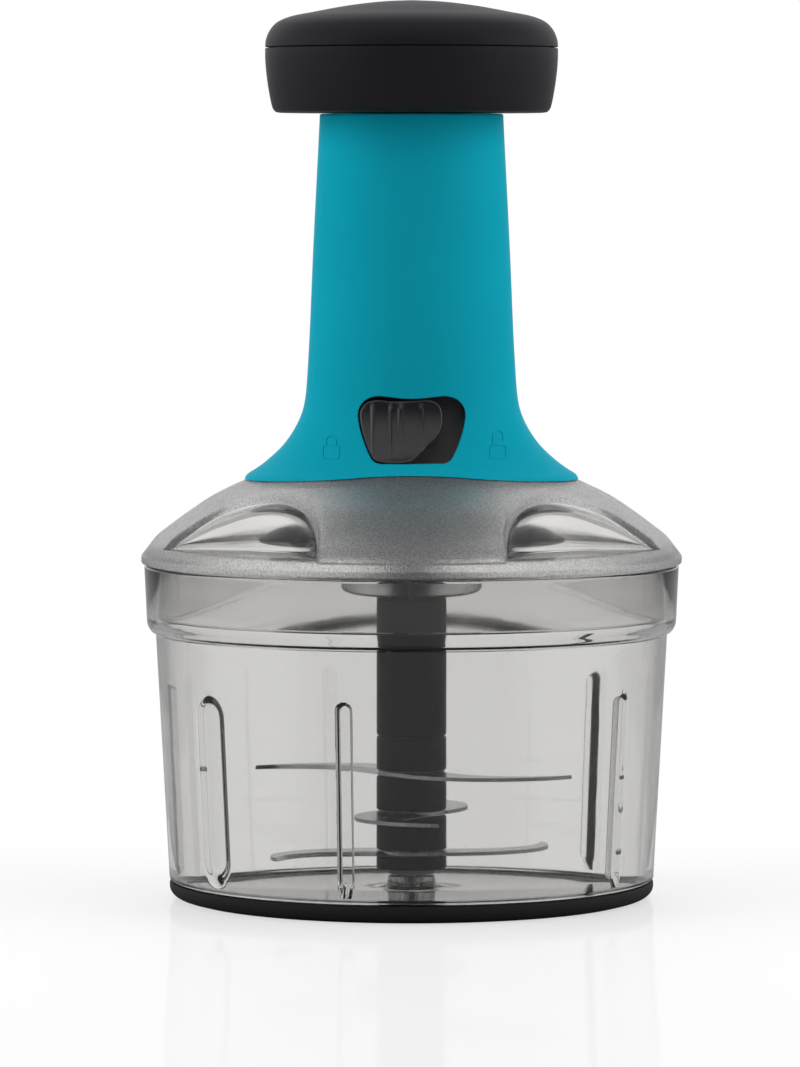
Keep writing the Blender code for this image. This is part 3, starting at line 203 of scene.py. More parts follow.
def flowing(points: Sequence[Point], steps: int = 6, ring: bool = False) -> Outline:
    """Lay a smooth curve through points, as a centripetal Catmull-Rom spline.

    Args:
        points: The points to pass through.
        steps: Stretches between two of them.
        ring: Whether the curve closes on itself.

    Returns:
        The curve's points.
    """
    places = [Vector(point) for point in points]
    count = len(places)
    if ring:
        padded = [places[-1], *places, places[0], places[1]]
    else:
        padded = [2 * places[0] - places[1], *places, 2 * places[-1] - places[-2]]
    curve: list[Point] = []
    for index in range(count if ring else count - 1):
        a, b, c, d = padded[index:index + 4]
        knots = [0.0]
        for first, second in ((a, b), (b, c), (c, d)):
            knots.append(knots[-1] + math.sqrt((second - first).length))
        for step in range(steps):
            at = knots[1] + (knots[2] - knots[1]) * step / steps
            ab = a.lerp(b, (at - knots[0]) / (knots[1] - knots[0]))
            bc = b.lerp(c, (at - knots[1]) / (knots[2] - knots[1]))
            cd = c.lerp(d, (at - knots[2]) / (knots[3] - knots[2]))
            abc = ab.lerp(bc, (at - knots[0]) / (knots[2] - knots[0]))
            bcd = bc.lerp(cd, (at - knots[1]) / (knots[3] - knots[1]))
            curve.append(tuple(abc.lerp(bcd, (at - knots[1]) / (knots[2] - knots[1]))))
    if not ring:
        curve.append(tuple(places[-1]))
    return curve


def scaled(shares: Sequence[Point], radius: float, across: float, height: float, up: float) -> Outline:
    """Turn a table of shares into real sizes.

    Args:
        shares: Pairs of shares, across and up.
        radius: The radius that a share of zero has.
        across: The step that a share of one adds to it.
        height: The height that a share of zero has.
        up: The step that a share of one adds to it.

    Returns:
        The points in metres.
    """
    return [(radius + share_across * across, height + share_up * up) for share_across, share_up in shares]


def offset(outline: Sequence[Point], distance: float, ring: bool = False) -> Outline:
    """Move an outline to the left of its direction of travel.

    Args:
        outline: The points.
        distance: How far to the left, or to the right where it is negative.
        ring: Whether the outline closes on itself.

    Returns:
        The moved points, as many as before.
    """
    count = len(outline)
    moved = []
    for index, place in enumerate(outline):
        before = outline[index - 1] if ring or index else place
        after = outline[(index + 1) % count] if ring or index < count - 1 else place
        along = (Vector(after) - Vector(before)).normalized()
        moved.append((place[0] - along.y * distance, place[1] + along.x * distance))
    return moved


def value_at(pairs: Sequence[Point], key: float) -> float:
    """Read a curve given as pairs, on straight lines between them.

    Args:
        pairs: Keys and values, the keys rising.
        key: Where to read.

    Returns:
        The value there, or the value at the nearer end.
    """
    if key <= pairs[0][0]:
        return pairs[0][1]
    for (low, low_value), (high, high_value) in zip(pairs, pairs[1:]):
        if key <= high:
            share = (key - low) / (high - low) if high > low else 0.0
            return low_value + (high_value - low_value) * share
    return pairs[-1][1]


def stretch_between(low: float, high: float, steps: int, ends: bool = True) -> list[float]:
    """Even values from low to high, with or without the last one."""
    return [low + (high - low) * step / steps for step in range(steps + (1 if ends else 0))]


def mesh_from(name: str, points: Sequence[Sequence[float]], faces: Sequence[Sequence[int]]) -> bpy.types.Mesh:
    """A mesh from its points and faces."""
    mesh = bpy.data.meshes.new(name)
    mesh.from_pydata([tuple(point) for point in points], [], [tuple(face) for face in faces])
    return mesh


def closed(mesh: bpy.types.Mesh, sharp: float = SHARP_ANGLE) -> bpy.types.Mesh:
    """Merge a mesh's doubles, turn its faces outwards and shade it smooth.

    Args:
        mesh: The mesh, changed in place.
        sharp: Edges sharper than this stay crisp.

    Returns:
        The same mesh.
    """
    shape = bmesh.new()
    shape.from_mesh(mesh)
    bmesh.ops.remove_doubles(shape, verts=shape.verts, dist=MERGE_DISTANCE)
    bmesh.ops.dissolve_degenerate(shape, dist=MERGE_DISTANCE, edges=shape.edges)
    bmesh.ops.recalc_face_normals(shape, faces=shape.faces)
    shape.to_mesh(mesh)
    shape.free()
    mesh.shade_smooth()
    mesh.set_sharp_from_angle(angle=sharp)
    return mesh


def joined(name: str, meshes: Sequence[bpy.types.Mesh]) -> bpy.types.Mesh:
    """One mesh that holds several closed shells, with the first one's materials."""
    shape = bmesh.new()
    for mesh in meshes:
        shape.from_mesh(mesh)
    whole = bpy.data.meshes.new(name)
    shape.to_mesh(whole)
    shape.free()
    for material in meshes[0].materials:
        whole.materials.append(material)
    return whole


def carved(mesh: bpy.types.Mesh, tool: bpy.types.Mesh, operation: str = "DIFFERENCE") -> bpy.types.Mesh:
    """Apply one Boolean to a mesh.

    Args:
        mesh: The mesh to change.
        tool: The shape that cuts it, joins it or limits it.
        operation: DIFFERENCE, UNION or INTERSECT.

    Returns:
        The result as a new mesh.
    """
    item = bpy.data.objects.new("carved", mesh)
    cutter = bpy.data.objects.new("cutter", tool)
    for thing in (item, cutter):
        bpy.context.scene.collection.objects.link(thing)
    step = item.modifiers.new("cut", "BOOLEAN")
    step.operation = operation
    step.solver = "EXACT"
    step.object = cutter
    depsgraph = bpy.context.evaluated_depsgraph_get()
    result = bpy.data.meshes.new_from_object(item.evaluated_get(depsgraph))
    for thing in (item, cutter):
        bpy.data.objects.remove(thing, do_unlink=True)
    return result


def woven(
    name: str,
    columns: Sequence[float],
    rows_at: Callable[[float], Outline],
    ring: bool,
    depth_share: float = 1.0,
    material_at: Callable[[int, float], int] | None = None,
) -> bpy.types.Mesh:
    """A closed shell whose outline changes as it goes round the axis.

    Args:
        name: The mesh's name.
        columns: The angles round the axis, rising, less than a full turn.
        rows_at: Gives the outline at an angle, always with the same number of points.
        ring: Whether the outline closes on itself rather than ending on the axis.
        depth_share: How much the shell is squeezed front to back.
        material_at: Gives the material index of a row of faces at an angle.

    Returns:
        The mesh, closed, with its faces outwards.
    """
    points: list[tuple[float, float, float]] = []
    for angle in columns:
        side, front = math.cos(angle), math.sin(angle) * depth_share
        points.extend((radius * side, radius * front, height) for radius, height in rows_at(angle))
    rows = len(points) // len(columns)
    faces, indices = [], []
    for column, angle in enumerate(columns):
        following = (column + 1) % len(columns)
        next_angle = columns[following] + (math.tau if following == 0 else 0.0)
        for row in range(rows if ring else rows - 1):
            after = (row + 1) % rows
            corners = (column, row), (following, row), (following, after), (column, after)
            faces.append([place * rows + level for place, level in corners])
            indices.append(material_at(row, (angle + next_angle) / 2) if material_at else 0)
    mesh = mesh_from(name, points, faces)
    mesh.polygons.foreach_set("material_index", indices)
    return closed(mesh)


def round_columns(count: int, fine: Sequence[tuple[float, float, int]] = ()) -> list[float]:
    """Angles round the axis, even but for stretches that need more of them.

    Args:
        count: How many even angles there are.
        fine: For each fine stretch its middle, its half width and its number of steps.

    Returns:
        The angles, rising, from zero to a full turn.
    """
    angles = [math.tau * index / count for index in range(count)]
    for middle, half, steps in fine:
        angles = [a for a in angles if abs((a - middle + math.pi) % math.tau - math.pi) > half * 1.02]
        angles += [(middle - half + 2 * half * step / steps) % math.tau for step in range(steps + 1)]
    return sorted(angles)


class NodeTree:
    """A Geometry Nodes tree with named inputs, built once and run on one mesh at a time."""

    def __init__(self, name: str, inputs: dict[str, str]) -> None:
        """Make the tree's sockets.

        Args:
            name: The tree's name.
            inputs: The socket type of each named input, beside the geometry and the material.
        """
        self.tree = bpy.data.node_groups.new(name, "GeometryNodeTree")
        self.identifiers: dict[str, str] = {}
        face = self.tree.interface
        face.new_socket("Geometry", in_out="INPUT", socket_type="NodeSocketGeometry")
        for label, kind in {**inputs, "Material": "NodeSocketMaterial"}.items():
            self.identifiers[label] = face.new_socket(label, in_out="INPUT", socket_type=kind).identifier
        face.new_socket("Geometry", in_out="OUTPUT", socket_type="NodeSocketGeometry")
        self.source = self.tree.nodes.new("NodeGroupInput")
        self.result = self.tree.nodes.new("NodeGroupOutput")

    def add(self, kind: str, sockets: dict[str | int, object], **settings: object) -> bpy.types.Node:
        """Add a node.

        Args:
            kind: The node's type.
            sockets: A value or a source for each of its inputs, by name or by number.
            **settings: The node's own settings.

        Returns:
            The node.
        """
        node = self.tree.nodes.new(kind)
        for label, value in settings.items():
            setattr(node, label, value)
        for label, value in sockets.items():
            if isinstance(value, bpy.types.NodeSocket):
                self.tree.links.new(value, node.inputs[label])
            else:
                node.inputs[label].default_value = value
        return node

    def given(self, label: str) -> bpy.types.NodeSocket:
        """The tree's own input of that name."""
        return self.source.outputs[label]

    def maths(self, operation: str, first: object, second: object) -> bpy.types.NodeSocket:
        """The result of a sum of two values."""
        return self.add("ShaderNodeMath", {0: first, 1: second}, operation=operation).outputs[0]

    def end(self, geometry: bpy.types.NodeSocket) -> None:
        """Realize what the tree made, give it its material and send it out."""
        real = self.add("GeometryNodeRealizeInstances", {"Geometry": geometry})
        dressed = self.add(
            "GeometryNodeSetMaterial",
            {"Geometry": real.outputs["Geometry"], "Material": self.given("Material")},
        )
        self.tree.links.new(dressed.outputs["Geometry"], self.result.inputs["Geometry"])

    def run(self, mesh: bpy.types.Mesh, material: bpy.types.Material, **values: float) -> bpy.types.Mesh:
        """Run the tree and keep the result as a plain mesh.

        Args:
            mesh: What goes into the tree.
            material: The finish of what comes out.
            **values: A value for each named input.

        Returns:
            The mesh that came out, closed, with its faces outwards.
        """
        holder = bpy.data.objects.new(mesh.name, mesh)
        bpy.context.scene.collection.objects.link(holder)
        form = holder.modifiers.new("form", "NODES")
        form.node_group = self.tree
        form[self.identifiers["Material"]] = material
        for label, value in values.items():
            form[self.identifiers[label.replace("_", " ").capitalize()]] = value
        depsgraph = bpy.context.evaluated_depsgraph_get()
        made = bpy.data.meshes.new_from_object(holder.evaluated_get(depsgraph))
        bpy.data.objects.remove(holder, do_unlink=True)
        return closed(made)


class Workshop:
    """The Geometry Nodes trees that several sub-assemblies share."""

    path_radius: float = 0.05       # the circle that a turned outline is swept round
    wire_sides: int = 14

    def __init__(self) -> None:
        """Build every tree once."""
        self.turning = self.turned_tree()
        self.copying = self.copies_tree()
        self.coiling = self.helix_tree()
        self.twisting = self.twist_tree()

    def turned_tree(self) -> NodeTree:
        """A tree that sweeps an outline in X and Z round the axis, closed at its poles."""
        work = NodeTree("turned_form", {"Sides": "NodeSocketInt"})
        flat = work.add("GeometryNodeTransform", {
            "Geometry": work.given("Geometry"),
            "Translation": (-self.path_radius, 0.0, 0.0),
            "Rotation": (math.radians(90.0), 0.0, 0.0),
        })
        outline = work.add("GeometryNodeMeshToCurve", {"Mesh": flat.outputs["Geometry"]})
        circle = work.add(
            "GeometryNodeCurvePrimitiveCircle", {"Resolution": work.given("Sides"), "Radius": self.path_radius},
        )
        upright = work.add("GeometryNodeSetCurveNormal", {"Curve": circle.outputs["Curve"]}, mode="Z_UP")
        swept = work.add("GeometryNodeCurveToMesh", {
            "Curve": upright.outputs["Curve"], "Profile Curve": outline.outputs["Curve"],
        })
        merged = work.add("GeometryNodeMergeByDistance", {
            "Geometry": swept.outputs["Mesh"], "Distance": MERGE_DISTANCE,
        })
        work.end(merged.outputs["Geometry"])
        return work

    def copies_tree(self) -> NodeTree:
        """A tree that sets copies of a shape evenly round the axis."""
        work = NodeTree("copies_round_the_axis", {"Count": "NodeSocketInt", "First angle": "NodeSocketFloat"})
        points = work.add("GeometryNodePoints", {"Count": work.given("Count")})
        index = work.add("GeometryNodeInputIndex", {}).outputs["Index"]
        share = work.maths("DIVIDE", index, work.given("Count"))
        angle = work.maths("ADD", work.maths("MULTIPLY", share, math.tau), work.given("First angle"))
        turn = work.add("ShaderNodeCombineXYZ", {"Z": angle})
        copies = work.add("GeometryNodeInstanceOnPoints", {
            "Points": points.outputs[0], "Instance": work.given("Geometry"), "Rotation": turn.outputs["Vector"],
        })
        work.end(copies.outputs["Instances"])
        return work

    def helix_tree(self) -> NodeTree:
        """A tree that winds a wire into a helix with capped ends."""
        work = NodeTree("wound_wire", {
            "Turns": "NodeSocketFloat", "Radius": "NodeSocketFloat", "Height": "NodeSocketFloat",
            "Start": "NodeSocketFloat", "Wire": "NodeSocketFloat", "Points": "NodeSocketInt",
        })
        line = work.add("GeometryNodeCurveSpiral", {
            "Resolution": work.given("Points"), "Rotations": work.given("Turns"),
            "Start Radius": work.given("Radius"), "End Radius": work.given("Radius"),
            "Height": work.given("Height"),
        })
        lift = work.add("ShaderNodeCombineXYZ", {"Z": work.given("Start")})
        raised = work.add("GeometryNodeTransform", {
            "Geometry": line.outputs["Curve"], "Translation": lift.outputs["Vector"],
        })
        section = work.add(
            "GeometryNodeCurvePrimitiveCircle", {"Resolution": self.wire_sides, "Radius": work.given("Wire")},
        )
        wire = work.add("GeometryNodeCurveToMesh", {
            "Curve": raised.outputs["Geometry"], "Profile Curve": section.outputs["Curve"], "Fill Caps": True,
        })
        work.end(wire.outputs["Mesh"])
        return work

    def twist_tree(self) -> NodeTree:
        """A tree that draws a flat section up a line while it turns."""
        work = NodeTree("twisted_bar", {
            "Bottom": "NodeSocketFloat", "Top": "NodeSocketFloat",
            "Turns": "NodeSocketFloat", "Points": "NodeSocketInt",
        })
        low = work.add("ShaderNodeCombineXYZ", {"Z": work.given("Bottom")})
        high = work.add("ShaderNodeCombineXYZ", {"Z": work.given("Top")})
        line = work.add("GeometryNodeCurvePrimitiveLine", {
            "Start": low.outputs["Vector"], "End": high.outputs["Vector"],
        })
        fine = work.add("GeometryNodeResampleCurve", {
            "Curve": line.outputs["Curve"], "Count": work.given("Points"),
        })
        along = work.add("GeometryNodeSplineParameter", {}).outputs["Factor"]
        turn = work.maths("MULTIPLY", work.maths("MULTIPLY", along, work.given("Turns")), math.tau)
        tilted = work.add("GeometryNodeSetCurveTilt", {"Curve": fine.outputs["Curve"], "Tilt": turn})
        section = work.add("GeometryNodeMeshToCurve", {"Mesh": work.given("Geometry")})
        bar = work.add("GeometryNodeCurveToMesh", {
            "Curve": tilted.outputs["Curve"], "Profile Curve": section.outputs["Curve"], "Fill Caps": True,
        })
        work.end(bar.outputs["Mesh"])
        return work

    def turned(
        self, name: str, outline: Outline, material: bpy.types.Material, sides: int = 120, ring: bool = False,
    ) -> bpy.types.Mesh:
        """Turn an outline round the axis.

        Args:
            name: The mesh's name.
            outline: Radii and heights; it ends on the axis unless it is a ring.
            material: The finish.
            sides: How many faces go round.
            ring: Whether the outline closes on itself.

        Returns:
            The turned mesh.
        """
        mesh = bpy.data.meshes.new(name)
        count = len(outline)
        edges = [(index, (index + 1) % count) for index in range(count if ring else count - 1)]
        mesh.from_pydata([(radius, 0.0, height) for radius, height in outline], edges, [])
        return self.turning.run(mesh, material, sides=sides)

    def copies(
        self, mesh: bpy.types.Mesh, material: bpy.types.Material, count: int, first_angle: float = 0.0,
    ) -> bpy.types.Mesh:
        """Set copies of a mesh evenly round the axis."""
        return self.copying.run(mesh, material, count=count, first_angle=first_angle)


def dress(
    name: str, mesh: bpy.types.Mesh, body: Body, slot: Slot, nodes: Sequence[str],
) -> bpy.types.Object:
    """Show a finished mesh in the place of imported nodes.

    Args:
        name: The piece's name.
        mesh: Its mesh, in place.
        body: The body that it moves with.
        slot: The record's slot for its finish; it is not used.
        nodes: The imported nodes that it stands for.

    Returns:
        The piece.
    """
    item = bpy.data.objects.new(name, mesh)
    bpy.context.scene.collection.objects.link(item)
    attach(item, body.value)
    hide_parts(*nodes)
    LOG.info("%s: %d faces on %s, for %s", name, len(mesh.polygons), body.value, ", ".join(nodes))
    return item


class Graph:
    """The nodes of one material, round its Principled shader."""

    def __init__(self, name: str) -> None:
        """Start a material.

        Args:
            name: The material's name.
        """
        self.material = bpy.data.materials.new(name)
        self.material.use_nodes = True
        self.tree = self.material.node_tree
        self.shader = self.tree.nodes["Principled BSDF"]
        self.places = self.tree.nodes.new("ShaderNodeTexCoord").outputs["Object"]

    def mapped(self, scale: tuple[float, float, float]) -> bpy.types.NodeSocket:
        """The object's coordinates stretched along its axes."""
        node = self.tree.nodes.new("ShaderNodeMapping")
        node.inputs["Scale"].default_value = scale
        self.tree.links.new(self.places, node.inputs["Vector"])
        return node.outputs["Vector"]

    def noise(
        self, size: float, detail: float = 2.0, places: bpy.types.NodeSocket | None = None,
    ) -> bpy.types.NodeSocket:
        """A noise whose grains measure about size.

        Args:
            size: The size of a grain in metres.
            detail: How many finer layers it has.
            places: The coordinates, or the object's own where none are given.

        Returns:
            The noise's value, from 0 to 1.
        """
        node = self.tree.nodes.new("ShaderNodeTexNoise")
        node.inputs["Scale"].default_value = 1.0 / size
        node.inputs["Detail"].default_value = detail
        self.tree.links.new(places or self.places, node.inputs["Vector"])
        return node.outputs["Fac"]

    def ranged(self, value: bpy.types.NodeSocket, low: float, high: float) -> bpy.types.NodeSocket:
        """A noise's middle values spread over a range."""
        node = self.tree.nodes.new("ShaderNodeMapRange")
        node.inputs["From Min"].default_value = 0.3
        node.inputs["From Max"].default_value = 0.7
        node.inputs["To Min"].default_value = low
        node.inputs["To Max"].default_value = high
        self.tree.links.new(value, node.inputs["Value"])
        return node.outputs["Result"]

    def blended(
        self, value: bpy.types.NodeSocket, first: Sequence[float], second: Sequence[float],
    ) -> bpy.types.NodeSocket:
        """A colour between two, by a value."""
        node = self.tree.nodes.new("ShaderNodeMix")
        node.data_type = "RGBA"
        node.inputs["A"].default_value = (0.0, 0.0, 0.0, 1.0)
        colours = [socket for socket in node.inputs if socket.type == "RGBA"]
        colours[0].default_value = (*first, 1.0)
        colours[1].default_value = (*second, 1.0)
        self.tree.links.new(value, node.inputs["Factor"])
        return [socket for socket in node.outputs if socket.type == "RGBA"][0]

    def bump(
        self, height: bpy.types.NodeSocket, distance: float, strength: float,
        under: bpy.types.NodeSocket | None = None,
    ) -> bpy.types.NodeSocket:
        """A bump from a height, over another bump where one is given."""
        node = self.tree.nodes.new("ShaderNodeBump")
        node.inputs["Distance"].default_value = distance
        node.inputs["Strength"].default_value = strength
        self.tree.links.new(height, node.inputs["Height"])
        if under is not None:
            self.tree.links.new(under, node.inputs["Normal"])
        return node.outputs["Normal"]

    def set(self, label: str, value: object) -> None:
        """Set one of the shader's inputs to a value, or link it."""
        socket = self.shader.inputs[label]
        if isinstance(value, bpy.types.NodeSocket):
            self.tree.links.new(value, socket)
        elif socket.type == "RGBA":
            socket.default_value = (*value, 1.0)
        else:
            socket.default_value = value


@dataclass(frozen=True)
class MouldedPlastic:
    """Opaque moulded plastic with a fine spark-eroded grain."""

    name: str
    colour: tuple[float, float, float]
    roughness: float
    grain: float = 0.00045
    grain_depth: float = 0.00003
    grain_strength: float = 0.35
    shade: float = 0.06         # how far the colour drifts over the piece
    drift: float = 0.035        # size of that drift
    specular: float = 0.15

    def material(self) -> bpy.types.Material:
        """Build the material."""
        graph = Graph(self.name)
        grain = graph.noise(self.grain, 3.0)
        low = tuple(channel * (1.0 - self.shade) for channel in self.colour)
        high = tuple(channel * (1.0 + self.shade) for channel in self.colour)
        drift = graph.ranged(graph.noise(self.drift, 1.0), 0.0, 1.0)
        graph.set("Base Color", graph.blended(drift, low, high))
        graph.set("Roughness", graph.ranged(grain, self.roughness - 0.04, self.roughness + 0.05))
        graph.set("Normal", graph.bump(grain, self.grain_depth, self.grain_strength))
        graph.set("Specular IOR Level", self.specular)
        return graph.material


@dataclass(frozen=True)
class ClearPlastic:
    """Polished clear plastic, a little grey in the mass."""

    name: str
    colour: tuple[float, float, float]
    roughness: float = 0.03
    ripple: float = 0.012
    ripple_depth: float = 0.00004
    absorption: float = 0.0     # per metre of wall that the light crosses

    def material(self) -> bpy.types.Material:
        """Build the material."""
        graph = Graph(self.name)
        ripple = graph.noise(self.ripple, 1.0)
        graph.set("Base Color", self.colour)
        graph.set("Roughness", graph.ranged(ripple, self.roughness * 0.6, self.roughness * 1.4))
        graph.set("Normal", graph.bump(ripple, self.ripple_depth, 0.4))
        graph.set("Transmission Weight", 1.0)
        graph.set("IOR", 1.5)
        if self.absorption:
            body = graph.tree.nodes.new("ShaderNodeVolumeAbsorption")
            body.inputs["Color"].default_value = (0.1, 0.1, 0.1, 1.0)
            body.inputs["Density"].default_value = self.absorption
            graph.tree.links.new(body.outputs["Volume"], graph.tree.nodes["Material Output"].inputs["Volume"])
        return graph.material


@dataclass(frozen=True)
class FrostedPlastic:
    """Translucent plastic with a coarse sparkling grain on its outside."""

    name: str
    colour: tuple[float, float, float]
    roughness: float = 0.36
    transmission: float = 0.88
    grain: float = 0.0005
    grain_depth: float = 0.00022
    speckle: float = 0.50

    def material(self) -> bpy.types.Material:
        """Build the material."""
        graph = Graph(self.name)
        grain = graph.noise(self.grain, 2.0)
        cloud = graph.noise(self.grain * 3.0, 2.0)
        low = tuple(channel * (1.0 - self.speckle) for channel in self.colour)
        high = tuple(min(1.0, channel * (1.0 + self.speckle)) for channel in self.colour)
        graph.set("Base Color", graph.blended(graph.ranged(grain, 0.0, 1.0), low, high))
        graph.set("Roughness", graph.ranged(cloud, self.roughness - 0.08, self.roughness + 0.08))
        under = graph.bump(cloud, self.grain_depth, 0.5)
        graph.set("Normal", graph.bump(grain, self.grain_depth, 0.7, under))
        graph.set("Transmission Weight", self.transmission)
        graph.set("IOR", 1.45)
        return graph.material


@dataclass(frozen=True)
class Metal:
    """Steel with fine lines from grinding or drawing."""

    name: str
    colour: tuple[float, float, float]
    roughness: float
    line: float = 0.00025
    line_scale: tuple[float, float, float] = (0.06, 1.0, 1.0)
    line_depth: float = 0.00001

    def material(self) -> bpy.types.Material:
        """Build the material."""
        graph = Graph(self.name)
        lines = graph.noise(self.line, 3.0, graph.mapped(self.line_scale))
        cloud = graph.noise(0.02, 2.0)
        dark = tuple(channel * 0.88 for channel in self.colour)
        graph.set("Base Color", graph.blended(graph.ranged(cloud, 0.0, 1.0), dark, self.colour))
        graph.set("Metallic", 1.0)
        graph.set("Roughness", graph.ranged(lines, self.roughness * 0.75, self.roughness * 1.3))
        graph.set("Normal", graph.bump(lines, self.line_depth, 0.35))
        return graph.material


@dataclass(frozen=True)
class SoftRubber:
    """Matte rubber with a dusty grain."""

    name: str
    colour: tuple[float, float, float]
    roughness: float = 0.72
    grain: float = 0.0006

    def material(self) -> bpy.types.Material:
        """Build the material."""
        graph = Graph(self.name)
        grain = graph.noise(self.grain, 4.0)
        pale = tuple(channel * 1.6 for channel in self.colour)
        graph.set("Base Color", graph.blended(graph.ranged(grain, 0.0, 1.0), self.colour, pale))
        graph.set("Roughness", graph.ranged(grain, self.roughness - 0.06, self.roughness + 0.1))
        graph.set("Normal", graph.bump(grain, 0.00006, 0.5))
        graph.set("Specular IOR Level", 0.15)
        return graph.material


@dataclass
class Finishes:
    """Every finish of the chopper, made once."""

    made: dict[Slot, bpy.types.Material] = field(default_factory=dict)

    def __post_init__(self) -> None:
        """Build the materials, one for each slot."""
        recipes = {
            Slot.CLEAR: ClearPlastic("clear_plastic", (0.835, 0.83, 0.82), absorption=24.0),
            Slot.FROSTED: FrostedPlastic("frosted_plastic", (0.80, 0.795, 0.79)),
            Slot.COLLAR: ClearPlastic("collar_plastic", (0.91, 0.91, 0.915), 0.25),
            Slot.TEAL: MouldedPlastic("teal_plastic", (0.0045, 0.315, 0.420), 0.42, shade=0.03, specular=0.005),
            Slot.KNOB: MouldedPlastic("knob_plastic", (0.0125, 0.0125, 0.0155), 0.46, grain=0.0006, specular=0.085),
            Slot.BLACK: MouldedPlastic("black_plastic", (0.004, 0.004, 0.006), 0.34, 0.0003, 0.00001, 0.1, specular=0.08),
            Slot.LOCK: MouldedPlastic("lock_plastic", (0.006, 0.006, 0.008), 0.20, 0.0007, 0.00001, 0.2, specular=0.50),
            Slot.RUBBER: SoftRubber("black_rubber", (0.011, 0.010, 0.011)),
            Slot.WHITE: MouldedPlastic("bearing_plastic", (0.75, 0.75, 0.72), 0.45),
            Slot.STEEL: Metal("plain_steel", (0.60, 0.60, 0.61), 0.26),
            Slot.BLADE: Metal("blade_steel", (0.36, 0.37, 0.38), 0.22),
            Slot.SCREWS: Metal("zinc_plate", (0.50, 0.51, 0.53), 0.30, line_scale=(1.0, 1.0, 1.0)),
        }
        for slot, recipe in recipes.items():
            self.made[slot] = recipe.material()
        self.polished = ClearPlastic("polished_lid_plastic", (0.83, 0.822, 0.812)).material()
        # painted light: the recesses get a paler copy of the polished lid plastic, so they look lit more brightly than
        # the rest of the lid
        self.recess = ClearPlastic("recess_plastic_painted_lighter", (0.94, 0.935, 0.925), 0.11).material()
        # painted light: the dish's grey is paler than the lock's black, to lift the shade that lies in the recess
        # behind the window
        self.tray = MouldedPlastic("tray_plastic_painted_lighter", (0.050, 0.048, 0.050), 0.42, 0.0006, 0.00012, 0.9, 0.4).material()

    def __getitem__(self, slot: Slot) -> bpy.types.Material:
        """The material of a slot."""
        return self.made[slot]

    def coat_nodes(self) -> None:
        """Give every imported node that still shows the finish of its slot."""
        slots = {part["node"]: Slot(part["material_slot"]) for part in frame["record"]["subparts"]}
        for name, item in frame["nodes"].items():
            if item.hide_render:
                continue
            item.data.materials.clear()
            item.data.materials.append(self[slots[name]])
            LOG.info("%s keeps its packed shape, in %s", name, slots[name].value)


@dataclass
class RubberBase:
    """The non-slip cup under the bowl."""

    wall: float = 0.0024
    floor: float = 0.0020
    foot_inset: float = 0.0048
    lip: float = 0.0007
    underside_rings: int = 3
    ring_depth: float = 0.0004
    ring_width: float = 0.0016

    def build(self, shop: Workshop, finishes: Finishes) -> None:
        """Turn the cup and show it."""
        size = span("non_slip_base")
        reach, top = size.reach, size.high
        corners = [Corner(0.0, 0.0)]
        for ring in range(self.underside_rings):
            middle = (reach - self.foot_inset) * (ring + 1) / (self.underside_rings + 1)
            near, far = middle - self.ring_width, middle + self.ring_width
            corners += [Corner(near, 0.0), Corner(middle, self.ring_depth, self.ring_width), Corner(far, 0.0)]
        corners += [
            Corner(reach - self.foot_inset, 0.0, self.foot_inset / 6),
            Corner(reach - self.foot_inset / 3, top / 6, self.foot_inset),
            Corner(reach, top / 2, self.foot_inset),
            Corner(reach, top, self.lip),
            Corner(reach - self.wall, top, self.lip),
            Corner(reach - self.wall, self.floor, self.lip),
            Corner(0.0, self.floor),
        ]
        mesh = shop.turned("non_slip_base", rounded(corners), finishes[Slot.RUBBER], 160)
        dress("rubber_base", mesh, Body.BOWL, Slot.RUBBER, ["non_slip_base"])


